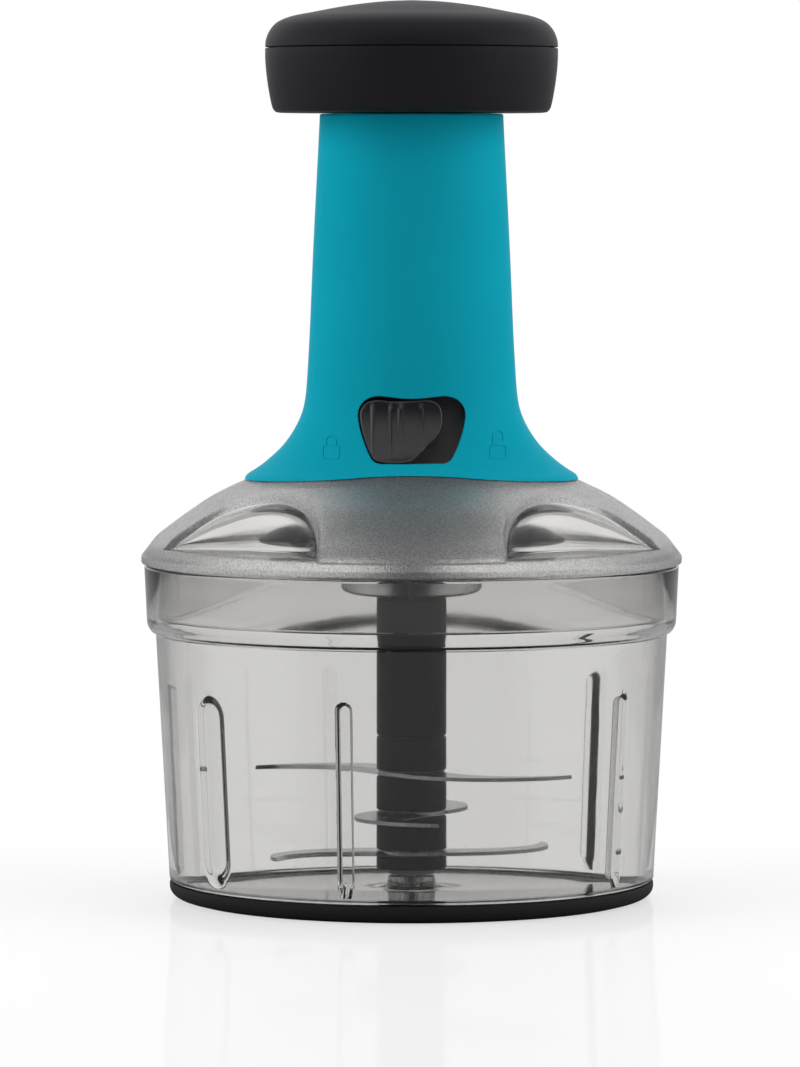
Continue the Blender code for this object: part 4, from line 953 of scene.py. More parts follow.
@dataclass
class Bowl:
    """The clear bowl with its stepped band, inner ribs and pivot boss."""

    wall: float = 0.0022
    floor: float = 0.0022
    inner_corner: float = 0.0050
    wall_height: float = 0.0687
    taper: float = 0.0037
    shoulder_step: float = 0.0025
    shoulder_rise: float = 0.0041
    band_taper: float = 0.0007
    rim_round: float = 0.0007
    boss_radius: float = 0.0070
    boss_height: float = 0.0042
    pin_radius: float = 0.0023
    pin_depth: float = 0.0034
    rib_width: float = 0.0024
    rib_height: float = 0.0024
    rib_top: float = 0.0600
    rib_start: float = 0.0085
    rib_count: int = 5
    first_rib: float = math.radians(-105.5)
    wide_rib: float = math.radians(-143.0)
    wide_share: float = 2.5
    rib_flank: float = 0.45         # of a rib's half width, where it falls to the wall
    wide_height_share: float = 0.8
    columns: int = 132
    rib_steps: int = 36
    wall_rows: int = 46
    crown_rows: int = 14
    shoulder_shares: tuple[Point, ...] = ((0.0, 0.0), (0.14, 0.06), (0.50, 0.20), (0.86, 0.54), (0.97, 0.80), (1.0, 1.0))

    def ribs(self) -> list[tuple[float, float, float]]:
        """The angle, half width and height of each rib."""
        plain = [
            (self.first_rib + math.tau * n / self.rib_count, self.rib_width, self.rib_height)
            for n in range(self.rib_count)
        ]
        wide = self.wide_rib, self.rib_width * self.wide_share, self.rib_height * self.wide_height_share
        return [*plain, wide]

    def rib_at(self, angle: float, height: float, radius: float) -> float:
        """How far a rib stands in from the wall at a place.

        Args:
            angle: The angle round the axis.
            height: The height above the worktop.
            radius: The wall's inner radius there.

        Returns:
            The rib's height over the wall, or zero beside the ribs.
        """
        stand = 0.0
        for middle, half, tall in self.ribs():
            across = ((angle - middle + math.pi) % math.tau - math.pi) * radius / half
            crown = (height - (self.rib_top - half)) / half
            foot = (self.rib_start + half - height) / half
            end = max(crown, foot, 0.0)
            inside = min((1.0 - math.hypot(across, end)) / self.rib_flank, 1.0)
            if inside > 0.0:
                stand = max(stand, tall * inside * inside * (3.0 - 2.0 * inside))
        return stand

    def build(self, finishes: Finishes) -> None:
        """Weave the bowl's shell and show it."""
        size, foot = span("bowl"), span("non_slip_base")
        underside, rim_z, rim_radius = size.low, size.high, size.reach
        plug = foot.reach - 0.0024 - 0.0003
        base_top = foot.high + 0.0003
        shoulder_z = foot.high + self.wall_height
        shoulder = foot.reach + self.taper
        band_z = shoulder_z + self.shoulder_rise
        floor_top = underside + self.floor
        boss_top = floor_top + self.boss_height
        curve = flowing(scaled(self.shoulder_shares, shoulder, self.shoulder_step, shoulder_z, self.shoulder_rise), 4)
        inner_curve = flowing(scaled(
            self.shoulder_shares, shoulder - self.wall, self.shoulder_step,
            shoulder_z + self.wall / 2, self.shoulder_rise,
        ), 4)
        outer = rounded([
            Corner(0.0, underside), Corner(plug, underside, 0.0008), Corner(plug, base_top, 0.0002),
            Corner(foot.reach, base_top, 0.0009), Corner(*curve[0]),
        ])
        rim = rounded([
            Corner(*curve[-1]), Corner(rim_radius, rim_z, self.rim_round),
            Corner(rim_radius - self.wall, rim_z, self.rim_round), Corner(inner_curve[-1][0], band_z + self.wall / 2),
        ])
        inner_foot = foot.reach - self.wall
        wall_top, wall_foot = shoulder_z + self.wall / 2, floor_top + self.inner_corner
        crown_low = self.rib_top - 2 * self.rib_width
        heights = [
            *stretch_between(wall_top, self.rib_top, 8, ends=False),
            *stretch_between(self.rib_top, crown_low, self.crown_rows, ends=False),
            *stretch_between(crown_low, wall_foot, self.wall_rows),
        ]
        lean = self.taper / self.wall_height
        wall = [(inner_foot + lean * (height - foot.high), height) for height in heights]
        bottom = rounded([
            Corner(wall[-1][0], wall_foot), Corner(inner_foot, floor_top, self.inner_corner),
            Corner(self.boss_radius, floor_top, 0.0016), Corner(self.boss_radius - 0.0006, boss_top, 0.0006),
            Corner(self.pin_radius, boss_top, 0.0003), Corner(self.pin_radius, boss_top - self.pin_depth),
            Corner(0.0, boss_top - self.pin_depth),
        ], steps=8)
        before = [*outer[:-1], *curve, *rim[1:-1], *reversed(inner_curve)]

        def rows_at(angle: float) -> Outline:
            """The bowl's outline at an angle, with the ribs in it."""
            ribbed = [(radius - self.rib_at(angle, height, radius), height) for radius, height in wall]
            return [*before, *ribbed[1:], *bottom[1:]]

        fine = [(middle % math.tau, 1.25 * half / inner_foot, self.rib_steps) for middle, half, *_ in self.ribs()]
        mesh = woven("bowl", round_columns(self.columns, fine), rows_at, ring=False)
        mesh.materials.append(finishes[Slot.CLEAR])
        dress("clear_bowl", mesh, Body.BOWL, Slot.CLEAR, ["bowl"])


@dataclass
class BladeStack:
    """Three blade levels on the black column that the drive turns."""

    width: float = 0.0170
    hub_inset: float = 0.0004
    sweep: float = math.radians(38.0)
    bevel_share: float = 0.42       # of the half width, ground down to the cutting edge
    edge_thickness: float = 0.00012
    shaft_hole: float = 0.0053
    pin_hole: float = 0.0023
    edge: float = 0.0005
    hex_radius: float = 0.0060
    hex_sides: int = 6
    levels: int = 3
    wing_steps: int = 5
    across_shares: tuple[float, ...] = (-1.0, -0.9, -0.5, 0.0, 0.3, 0.58, 0.8, 1.0)
    width_shares: tuple[Point, ...] = (
        (0.0, 1.0), (0.15, 0.98), (0.35, 0.92), (0.55, 0.80), (0.75, 0.62), (0.90, 0.40), (1.0, 0.12),
    )

    def wing(self, reach: float, column: float, low: float, high: float) -> bpy.types.Mesh:
        """One curved wing, ground to an edge along its leading side.

        Args:
            reach: How far the tip stands from the axis.
            column: The column's radius.
            low: The blade's underside.
            high: Its upper side.

        Returns:
            A closed mesh.
        """
        root = column - self.hub_inset - self.width / 4
        thickness = high - low
        rows = []
        for along, share in flowing(self.width_shares, self.wing_steps):
            turn = Matrix.Rotation(self.sweep * along * along, 2)
            upper, lower = [], []
            for across in self.across_shares:
                ground = max(0.0, (across - (1.0 - self.bevel_share)) / self.bevel_share)
                top = high - ground * (thickness - self.edge_thickness)
                place = turn @ Vector((root + (reach - root) * along, across * self.width * share / 2))
                upper.append((place.x, place.y, top))
                lower.append((place.x, place.y, low))
            rows.append(upper + lower[::-1])
        count = len(rows[0])
        points = [point for row in rows for point in row]
        faces = [tuple(range(count)), tuple(range((len(rows) - 1) * count, len(rows) * count))]
        for row in range(len(rows) - 1):
            for index in range(count):
                after = (index + 1) % count
                faces.append((
                    row * count + index, (row + 1) * count + index,
                    (row + 1) * count + after, row * count + after,
                ))
        return closed(mesh_from("wing", points, faces), math.radians(12.0))

    def blade(self, shop: Workshop, finishes: Finishes, level: int, column: float) -> None:
        """One level: two wings and their hub as one piece of steel."""
        node = f"blade_{level + 1}"
        low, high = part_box(node)
        hub_radius = column - self.hub_inset
        hub = shop.turned("hub", rounded([
            Corner(self.shaft_hole, high.z), Corner(hub_radius, high.z),
            Corner(hub_radius, low.z), Corner(self.shaft_hole, low.z),
        ], ring=True), finishes[Slot.BLADE], 64, ring=True)
        reach = span("blade_1").reach
        wings = shop.copies(
            self.wing(reach, column, low.z, high.z), finishes[Slot.BLADE], 2, math.pi * level / self.levels,
        )
        mesh = closed(carved(hub, wings, "UNION"), math.radians(12.0))
        mesh.materials.clear()
        mesh.materials.append(finishes[Slot.BLADE])
        dress(f"chopping_blade_{level + 1}", mesh, Body.BLADES, Slot.BLADE, [node])

    def sleeve(self, shop: Workshop, finishes: Finishes, node: str, hole: float) -> None:
        """A plain ring of the column, its edges rounded."""
        size = span(node)
        mesh = shop.turned(node, rounded([
            Corner(hole, size.high), Corner(size.reach, size.high, self.edge),
            Corner(size.reach, size.low, self.edge), Corner(hole, size.low),
        ], ring=True), finishes[Slot.BLACK], 96, ring=True)
        dress(f"stack_{node}", mesh, Body.BLADES, Slot.BLACK, [node])

    def column(self, shop: Workshop, finishes: Finishes) -> None:
        """The upper column with its hexagonal head."""
        size, shaft = span("blade_column"), span("blade_shaft")
        socket = span("drive_socket")
        shoulder = socket.low - 0.0030
        hole_top = shaft.high + 0.0003
        barrel = shop.turned("column", rounded([
            Corner(0.0, shoulder), Corner(size.reach, shoulder, 0.0010), Corner(size.reach, size.low, self.edge),
            Corner(self.shaft_hole, size.low), Corner(self.shaft_hole, hole_top), Corner(0.0, hole_top),
        ]), finishes[Slot.BLACK], 96)
        head = shop.turned("head", [
            (0.0, size.high), (self.hex_radius - 0.0010, size.high), (self.hex_radius, size.high - 0.0010),
            (self.hex_radius, shoulder - 0.0020), (0.0, shoulder - 0.0020),
        ], finishes[Slot.BLACK], self.hex_sides)
        mesh = closed(carved(barrel, head, "UNION"))
        dress("column_with_hexagon", mesh, Body.BLADES, Slot.BLACK, ["blade_column"])

    def build(self, shop: Workshop, finishes: Finishes) -> None:
        """Build the column from its end cap to its head, with the blades between the spacers."""
        radius = span("blade_column").reach
        self.sleeve(shop, finishes, "blade_end_cap", self.pin_hole)
        for level in range(self.levels):
            self.blade(shop, finishes, level, radius)
            self.sleeve(shop, finishes, f"blade_spacer_{level + 1}", self.shaft_hole)
        self.column(shop, finishes)


@dataclass
class Lid:
    """The frosted lid: a dome with four polished finger recesses, a brim and a skirt."""

    wall: float = 0.0022
    skirt_wall: float = 0.0018
    skirt_gap: float = 0.0028       # from the bowl's band to the skirt
    brim_height: float = 0.0022
    brim_round: float = 0.0009
    dome_height: float = 0.0248
    dome_top_radius: float = 0.0383
    hole_radius: float = 0.0222
    recess_radius: float = 0.0393
    recess_centre: float = 0.0916
    recess_drop: float = 0.0030     # from the brim's top to the recess's floor, upwards
    recess_wall: float = 0.0020
    recess_count: int = 4
    floor_round: float = 0.0016
    inner_round: float = 0.0050
    edge_round: float = 0.0018
    columns: int = 288
    dome_shares: tuple[Point, ...] = (
        (1.0, 0.0), (0.967, 0.044), (0.929, 0.137), (0.879, 0.226), (0.802, 0.315), (0.640, 0.492),
        (0.453, 0.673), (0.228, 0.835), (0.0, 1.0),
    )
    dome_rows: int = 30
    floor_rows: int = 8
    arc_rows: int = 6
    wall_rows: int = 5

    def __post_init__(self) -> None:
        """Work out the heights, and the dome's two sides as height by radius."""
        size = span("lid")
        self.reach, self.skirt_z, self.top = size.reach, size.low, size.high
        self.dome_z = self.top - self.dome_height
        self.brim_z = self.dome_z - self.brim_height
        self.floor_z = self.dome_z + self.recess_drop
        across = self.reach - self.dome_top_radius
        dome = flowing(
            scaled(self.dome_shares, self.dome_top_radius, across, self.dome_z, self.dome_height), 8,
        )
        self.outside = sorted(dome)
        under = [(radius, min(height, self.top - self.wall)) for radius, height in offset(dome, self.wall)]
        self.inside = sorted(under)
        rising = sorted((height, radius) for radius, height in dome)
        self.floor_reach = value_at(rising, self.floor_z)
        band = span("bowl").reach - 0.0007
        self.skirt_radius = band - self.skirt_gap
        self.skirt_inside = self.skirt_radius - self.skirt_wall

    def dome_at(self, radius: float) -> float:
        """The dome's height at a radius."""
        return value_at(self.outside, radius)

    def ceiling_at(self, radius: float) -> float:
        """The height of the dome's inner side at a radius."""
        return value_at(self.inside, radius)

    def scoop_at(self, angle: float) -> float:
        """The radius at which a recess begins at an angle, or the dome's foot beside the recesses."""
        step = math.tau / self.recess_count
        away = (angle - step / 2 + step / 2) % step - step / 2
        sideways = self.recess_centre * math.sin(away)
        if abs(sideways) >= self.recess_radius:
            return self.floor_reach
        near = self.recess_centre * math.cos(away) - math.sqrt(self.recess_radius ** 2 - sideways ** 2)
        return min(near, self.floor_reach)

    def rows_at(self, angle: float) -> Outline:
        """The lid's outline at an angle, from the skirt's foot over the dome and back inside."""
        scoop = self.scoop_at(angle)
        edge_z = self.dome_at(scoop)
        rise = edge_z - self.floor_z
        below = min(self.floor_round, 0.4 * rise, 0.4 * (self.floor_reach - scoop))
        above = min(self.edge_round, 0.35 * rise)
        rows = list(self.brim)
        for radius in stretch_between(self.floor_reach, scoop + below, self.floor_rows):
            rows.append((radius, self.floor_z))
        for turn in stretch_between(0.0, math.pi / 2, self.arc_rows)[1:]:
            rows.append((scoop + below * (1 - math.sin(turn)), self.floor_z + below * (1 - math.cos(turn))))
        for height in stretch_between(self.floor_z + below, edge_z - above, self.wall_rows)[1:]:
            rows.append((scoop, height))
        start, corner = Vector((scoop, edge_z - above)), Vector((scoop, edge_z))
        end = Vector((scoop - above, self.dome_at(scoop - above)))
        for share in stretch_between(0.0, 1.0, self.arc_rows)[1:]:
            rows.append(tuple(start.lerp(corner, share).lerp(corner.lerp(end, share), share)))
        for radius in stretch_between(scoop - above, self.dome_top_radius, self.dome_rows)[1:]:
            rows.append((radius, self.dome_at(radius)))
        rows += [(self.hole_radius, self.top), (self.hole_radius, self.top - self.wall)]
        inner = scoop - self.recess_wall
        low = self.floor_z - self.recess_wall
        inside = min(self.inner_round, 0.45 * (self.ceiling_at(inner) - low))
        for radius in stretch_between(self.hole_radius, inner - inside, self.dome_rows)[1:]:
            rows.append((radius, self.ceiling_at(radius)))
        corner, end = Vector((inner, self.ceiling_at(inner))), Vector((inner, self.ceiling_at(inner) - inside))
        start = Vector(rows[-1])
        for share in stretch_between(0.0, 1.0, self.arc_rows)[1:]:
            rows.append(tuple(start.lerp(corner, share).lerp(corner.lerp(end, share), share)))
        for height in stretch_between(end.y, low, self.wall_rows)[1:]:
            rows.append((inner, height))
        for radius in stretch_between(inner, self.skirt_inside, self.wall_rows)[1:]:
            rows.append((radius, low))
        for height in stretch_between(low, self.skirt_z, self.wall_rows)[1:-1]:
            rows.append((self.skirt_inside, height))
        return rows

    def material_at(self, row: int, angle: float) -> int:
        """The index of a face's material: 0 is frosted, 1 is polished, 2 is a recess, whose paler copy of the polished
        plastic paints light on it.
        """
        scooped = self.scoop_at(angle) < self.floor_reach
        first_floor = len(self.brim)
        last_wall = first_floor + self.floor_rows + self.arc_rows + self.wall_rows
        last_dome = last_wall + self.arc_rows + self.dome_rows + 1
        if row < self.skirt_rows or row > last_dome:
            return 1
        return 2 if scooped and first_floor <= row < last_wall else 0

    def build(self, finishes: Finishes) -> None:
        """Weave the lid's shell and show it."""
        skirt = rounded([
            Corner(self.skirt_inside, self.skirt_z), Corner(self.skirt_radius, self.skirt_z, 0.0010),
            Corner(self.skirt_radius, self.brim_z, 0.0004), Corner(self.reach - 0.0015, self.brim_z),
        ])
        edge = rounded([
            Corner(self.reach - 0.0015, self.brim_z), Corner(self.reach, self.brim_z, self.brim_round),
            Corner(self.reach, self.dome_z, self.brim_round), Corner(self.floor_reach, self.floor_z),
        ])
        self.skirt_rows = len(skirt)
        self.brim = [*skirt, *edge[1:-1]]
        half_turn = math.pi / self.recess_count
        cosine = (self.floor_reach ** 2 + self.recess_centre ** 2 - self.recess_radius ** 2)
        end = math.acos(cosine / (2 * self.floor_reach * self.recess_centre))
        fine = []
        for index in range(self.recess_count):
            middle = half_turn * (2 * index + 1)
            fine += [(middle + side * (end - 0.05), 0.05, 12) for side in (-1, 1)]
        mesh = woven(
            "lid", round_columns(self.columns, fine), self.rows_at, ring=True, material_at=self.material_at,
        )
        mesh.materials.append(finishes[Slot.FROSTED])
        mesh.materials.append(finishes.polished)
        mesh.materials.append(finishes.recess)
        dress("frosted_lid", mesh, Body.LID, Slot.FROSTED, ["lid"])


@dataclass
class DriveHouse:
    """What hangs under the lid: the black cover, the splash collar and the bearing block."""

    cover_wall: float = 0.0020
    hub_wall: float = 0.0018
    collar_wall: float = 0.0016
    middle_share: float = 0.2
    edge: float = 0.0006
    flange_thickness: float = 0.0020
    plate: float = 0.0025
    tube_wall: float = 0.0020
    tube_length: float = 0.0130
    journal_bore: float = 0.0058
    screw_circle: float = 0.0285
    screw_hole: float = 0.0018
    screw_count: int = 4

    def cover(self, shop: Workshop, finishes: Finishes) -> None:
        """The shallow cone that hides the bearing from below."""
        size = span("drive_cover")
        inner = span("splash_collar").reach + 0.0003 + self.tube_wall + 0.0003
        hub = inner + self.hub_wall
        hub_z = size.high - 0.0060
        middle = hub + (size.reach - hub) * self.middle_share
        mesh = shop.turned("drive_cover", rounded([
            Corner(inner, hub_z, self.edge), Corner(hub, hub_z), Corner(middle, hub_z, 0.0030),
            Corner(size.reach, size.low, self.edge), Corner(size.reach, size.low + self.cover_wall, self.edge),
            Corner(middle, hub_z + self.cover_wall, 0.0030),
            Corner(hub, hub_z + self.cover_wall * 2, 0.0010), Corner(hub, size.high, self.edge),
            Corner(inner, size.high),
        ], ring=True), finishes[Slot.BLACK], 144, ring=True)
        dress("drive_cover_cone", mesh, Body.LID, Slot.BLACK, ["drive_cover"])

    def collar(self, shop: Workshop, finishes: Finishes) -> None:
        """The clear ring that keeps food off the drive."""
        size = span("splash_collar")
        inner = size.reach - self.collar_wall
        mesh = shop.turned("splash_collar", rounded([
            Corner(inner, size.high, self.edge), Corner(size.reach, size.high, self.edge),
            Corner(size.reach, size.low, self.edge), Corner(inner, size.low, self.edge),
        ], ring=True), finishes[Slot.COLLAR], 120, ring=True)
        dress("clear_splash_collar", mesh, Body.LID, Slot.COLLAR, ["splash_collar"])

    def block(self, shop: Workshop, finishes: Finishes) -> None:
        """The block that carries the drive screw, with its screw holes."""
        size = span("bearing_block")
        tube_inside = span("splash_collar").reach + 0.0003
        tube = tube_inside + self.tube_wall
        plate_z = size.high - self.plate
        flange_z = size.low + self.tube_length
        mesh = shop.turned("bearing_block", rounded([
            Corner(self.journal_bore, size.high, self.edge), Corner(tube, size.high, self.edge),
            Corner(tube, flange_z + self.flange_thickness), Corner(size.reach, flange_z + self.flange_thickness),
            Corner(size.reach, flange_z, self.edge), Corner(tube, flange_z, self.edge),
            Corner(tube, size.low, self.edge), Corner(tube_inside, size.low, self.edge),
            Corner(tube_inside, plate_z, self.edge), Corner(self.journal_bore, plate_z),
        ], ring=True), finishes[Slot.BLACK], 96, ring=True)
        drill = shop.turned("drill", [
            (0.0, size.high), (self.screw_hole, size.high), (self.screw_hole, size.low), (0.0, size.low),
        ], finishes[Slot.BLACK], 24)
        drill.transform(Matrix.Translation((self.screw_circle, 0.0, 0.0)))
        drills = shop.copies(drill, finishes[Slot.BLACK], self.screw_count, math.pi / self.screw_count)
        mesh = closed(carved(mesh, drills))
        dress("drive_bearing_block", mesh, Body.LID, Slot.BLACK, ["bearing_block"])

    def build(self, shop: Workshop, finishes: Finishes) -> None:
        """Build the three pieces."""
        self.cover(shop, finishes)
        self.collar(shop, finishes)
        self.block(shop, finishes)


@dataclass
class Housing:
    """The teal handle housing, flared at its foot, with the lock's window."""

    wall: float = 0.0022
    depth_share: float = 0.94
    top_round: float = 0.0010
    foot_gap: float = 0.0003
    rim_round: float = 0.0003
    columns: int = 132
    window_columns: int = 84
    window_half_angle: float = math.radians(34.0)
    outer_rows: int = 96
    inner_rows: int = 40
    window_half_width: float = 0.01465
    window_height: float = 0.0180
    window_rise: float = 0.0022
    boss_radius: float = 0.0036
    boss_height: float = 0.0074
    boss_circle: float = 0.0285
    boss_bore: float = 0.0018
    mark_half_width: float = 0.00022
    mark_height: float = 0.00016
    mark_root: float = 0.0006
    mark_body: Point = (0.0044, 0.0034)
    shackle_radius: float = 0.0014
    shackle_leg: float = 0.0012
    mark_places: tuple[Point, ...] = ((-0.0221, 0.1236), (0.0237, 0.1236))
    shares: tuple[Point, ...] = (
        (1.0, 0.0), (0.971, 0.0138), (0.838, 0.0325), (0.694, 0.055), (0.484, 0.0965), (0.346, 0.137),
        (0.251, 0.177), (0.198, 0.2185), (0.150, 0.3415), (0.088, 0.628), (0.0, 0.988),
    )
    window_shares: tuple[Point, ...] = (
        (0.0, 0.962), (0.20, 0.968), (0.375, 0.984), (0.648, 1.0), (0.86, 0.94), (0.97, 0.83), (1.0, 0.727),
        (0.976, 0.557), (0.90, 0.339), (0.805, 0.153), (0.724, 0.044), (0.614, 0.0), (0.40, -0.004), (0.0, -0.006),
    )

    def fit(self, lid: Lid) -> None:
        """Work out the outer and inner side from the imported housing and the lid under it.

        Args:
            lid: The lid, whose dome the housing stands on.
        """
        size = span("housing")
        self.lid = lid
        self.top = size.high
        foot_radius = size.reach
        self.foot_z = lid.dome_at(foot_radius)
        neck = foot_radius - 0.0210
        outline = scaled(self.shares, neck, foot_radius - neck, self.foot_z, self.top - self.foot_z)
        self.outline = flowing(outline, 10)
        self.inner = offset(self.outline, self.wall)
        self.window_z = lid.top + self.window_rise

    def radius_at(self, height: float) -> float:
        """The outer side's radius along X at a height."""
        return value_at([(up, radius) for radius, up in self.outline], height)

    def front_at(self, sideways: float, height: float, proud: float = 0.0) -> float:
        """The depth of the front at a place, pushed out by proud."""
        radius = self.radius_at(height) + proud
        return -self.depth_share * math.sqrt(max(radius * radius - sideways * sideways, 0.0))

    def clipped(self, outline: Outline, angle: float, rows: int) -> Outline:
        """The part of a side above the dome, in even rows.

        Args:
            outline: The side, from the foot up.
            angle: The angle round the axis.
            rows: How many rows it gets.

        Returns:
            The rows, from the dome to the top.
        """
        squeeze = math.hypot(math.cos(angle), self.depth_share * math.sin(angle))
        start = 0.0
        for index in range(len(outline) - 1):
            clear = [up - self.lid.dome_at(radius * squeeze) - self.foot_gap
                     for radius, up in outline[index:index + 2]]
            if clear[0] < 0.0 <= clear[1]:
                start = index - clear[0] / (clear[1] - clear[0])
        points = []
        for step in range(rows):
            share = step / (rows - 1)
            at = start + (len(outline) - 1 - start) * share
            index = min(int(at), len(outline) - 2)
            points.append(tuple(Vector(outline[index]).lerp(Vector(outline[index + 1]), at - index)))
        return points

    def rows_at(self, angle: float) -> Outline:
        """The shell's outline at an angle, up its outer side and down the inner one."""
        outer = self.clipped(self.outline, angle, self.outer_rows)
        inner = self.clipped(self.inner, angle, self.inner_rows)
        top = rounded([
            Corner(*outer[-1]), Corner(outer[-1][0], self.top, self.top_round),
            Corner(inner[-1][0], self.top, self.top_round / 3), Corner(*inner[-1]),
        ])
        return [*outer[:-1], *top, *reversed(inner[:-1])]

    def window(self, margin: float = 0.0) -> Outline:
        """The window's outline in X and Z, grown by a margin."""
        half = scaled(self.window_shares, 0.0, self.window_half_width, self.window_z, self.window_height)
        whole = half + [(-across, up) for across, up in reversed(half[1:-1])]
        return offset(flowing(whole, 6, ring=True), margin, ring=True)

    def window_tool(self) -> bpy.types.Mesh:
        """A plug that cuts the window and rounds its rim as deep as it is wide."""
        layers: list[tuple[float, float]] = [(self.rim_round, -4 * self.rim_round)]
        for turn in stretch_between(0.0, math.pi / 2, 6):
            layers.append((self.rim_round * (1 - math.sin(turn)), self.rim_round * (1 - math.cos(turn))))
        layers.append((0.0, 8 * self.wall))
        points, faces = [], []
        for margin, depth in layers:
            for sideways, height in self.window(margin):
                points.append((sideways, self.front_at(sideways, height) + depth, height))
        count = len(points) // len(layers)
        for layer in range(len(layers) - 1):
            for index in range(count):
                after = (index + 1) % count
                low, high = layer * count, (layer + 1) * count
                faces.append((low + index, low + after, high + after, high + index))
        faces.append(tuple(range(count)))
        faces.append(tuple(range((len(layers) - 1) * count, len(layers) * count)))
        return closed(mesh_from("window_tool", points, faces))

    def raised_line(self, path: Outline, ring: bool) -> bpy.types.Mesh:
        """A fine raised line on the housing's front.

        Args:
            path: Its middle, in X and Z.
            ring: Whether it closes on itself.

        Returns:
            A closed strip that stands a little proud of the surface.
        """
        top = self.mark_half_width / 2
        points, faces = [], []
        sides = [offset(path, margin, ring) for margin in (self.mark_half_width, top, -top, -self.mark_half_width)]
        proud = (-self.mark_root, self.mark_height, self.mark_height, -self.mark_root)
        for index in range(len(path)):
            for side, height in zip(sides, proud):
                sideways, up = side[index]
                points.append((sideways, self.front_at(sideways, up, height), up))
        count = len(sides)
        for index in range(len(path) if ring else len(path) - 1):
            here, there = index * count, (index + 1) % len(path) * count
            for corner in range(count):
                after = (corner + 1) % count
                faces.append((here + corner, here + after, there + after, there + corner))
        if not ring:
            faces += [tuple(range(count)), tuple(range(len(points) - count, len(points)))]
        return closed(mesh_from("raised_line", points, faces))

    def marks(self) -> list[bpy.types.Mesh]:
        """A shut padlock to the left of the window and an open one to its right."""
        meshes = []
        wide, tall = self.mark_body
        for (sideways, low), lift in zip(self.mark_places, (0.0, self.shackle_leg)):
            body = rounded([
                Corner(sideways - wide / 2, low, wide / 8), Corner(sideways + wide / 2, low, wide / 8),
                Corner(sideways + wide / 2, low + tall, wide / 8), Corner(sideways - wide / 2, low + tall, wide / 8),
            ], ring=True)
            meshes.append(self.raised_line(body, ring=True))
            arch_z = low + tall + self.shackle_leg + lift
            shackle = [(sideways - self.shackle_radius, low + tall)]
            for turn in stretch_between(math.pi, 0.0, 12):
                shackle.append((
                    sideways + self.shackle_radius * math.cos(turn), arch_z + self.shackle_radius * math.sin(turn),
                ))
            shackle.append((sideways + self.shackle_radius, low + tall + lift))
            meshes.append(self.raised_line(shackle, ring=False))
        return meshes

    def build(self, shop: Workshop, finishes: Finishes) -> None:
        """Weave the shell, cut its window, add its screw bosses and show it."""
        fine = [(FRONT_ANGLE % math.tau, self.window_half_angle, self.window_columns)]
        shell = woven(
            "housing", round_columns(self.columns, fine), self.rows_at, ring=True, depth_share=self.depth_share,
        )
        shell.materials.append(finishes[Slot.TEAL])
        shell = closed(carved(shell, self.window_tool()), math.radians(30.0))
        low = self.lid.top + self.foot_gap
        boss = shop.turned("boss", rounded([
            Corner(self.boss_bore, low + self.boss_height), Corner(self.boss_radius, low + self.boss_height),
            Corner(self.boss_radius, low), Corner(self.boss_bore, low),
        ], ring=True), finishes[Slot.TEAL], 32, ring=True)
        boss.transform(Matrix.Translation((self.boss_circle, 0.0, 0.0)))
        bosses = shop.copies(boss, finishes[Slot.TEAL], 4, math.radians(45.0))
        mesh = joined("housing", [shell, bosses, *self.marks()])
        mesh.materials.clear()
        mesh.materials.append(finishes[Slot.TEAL])
        dress("teal_housing", mesh, Body.LID, Slot.TEAL, ["housing"])


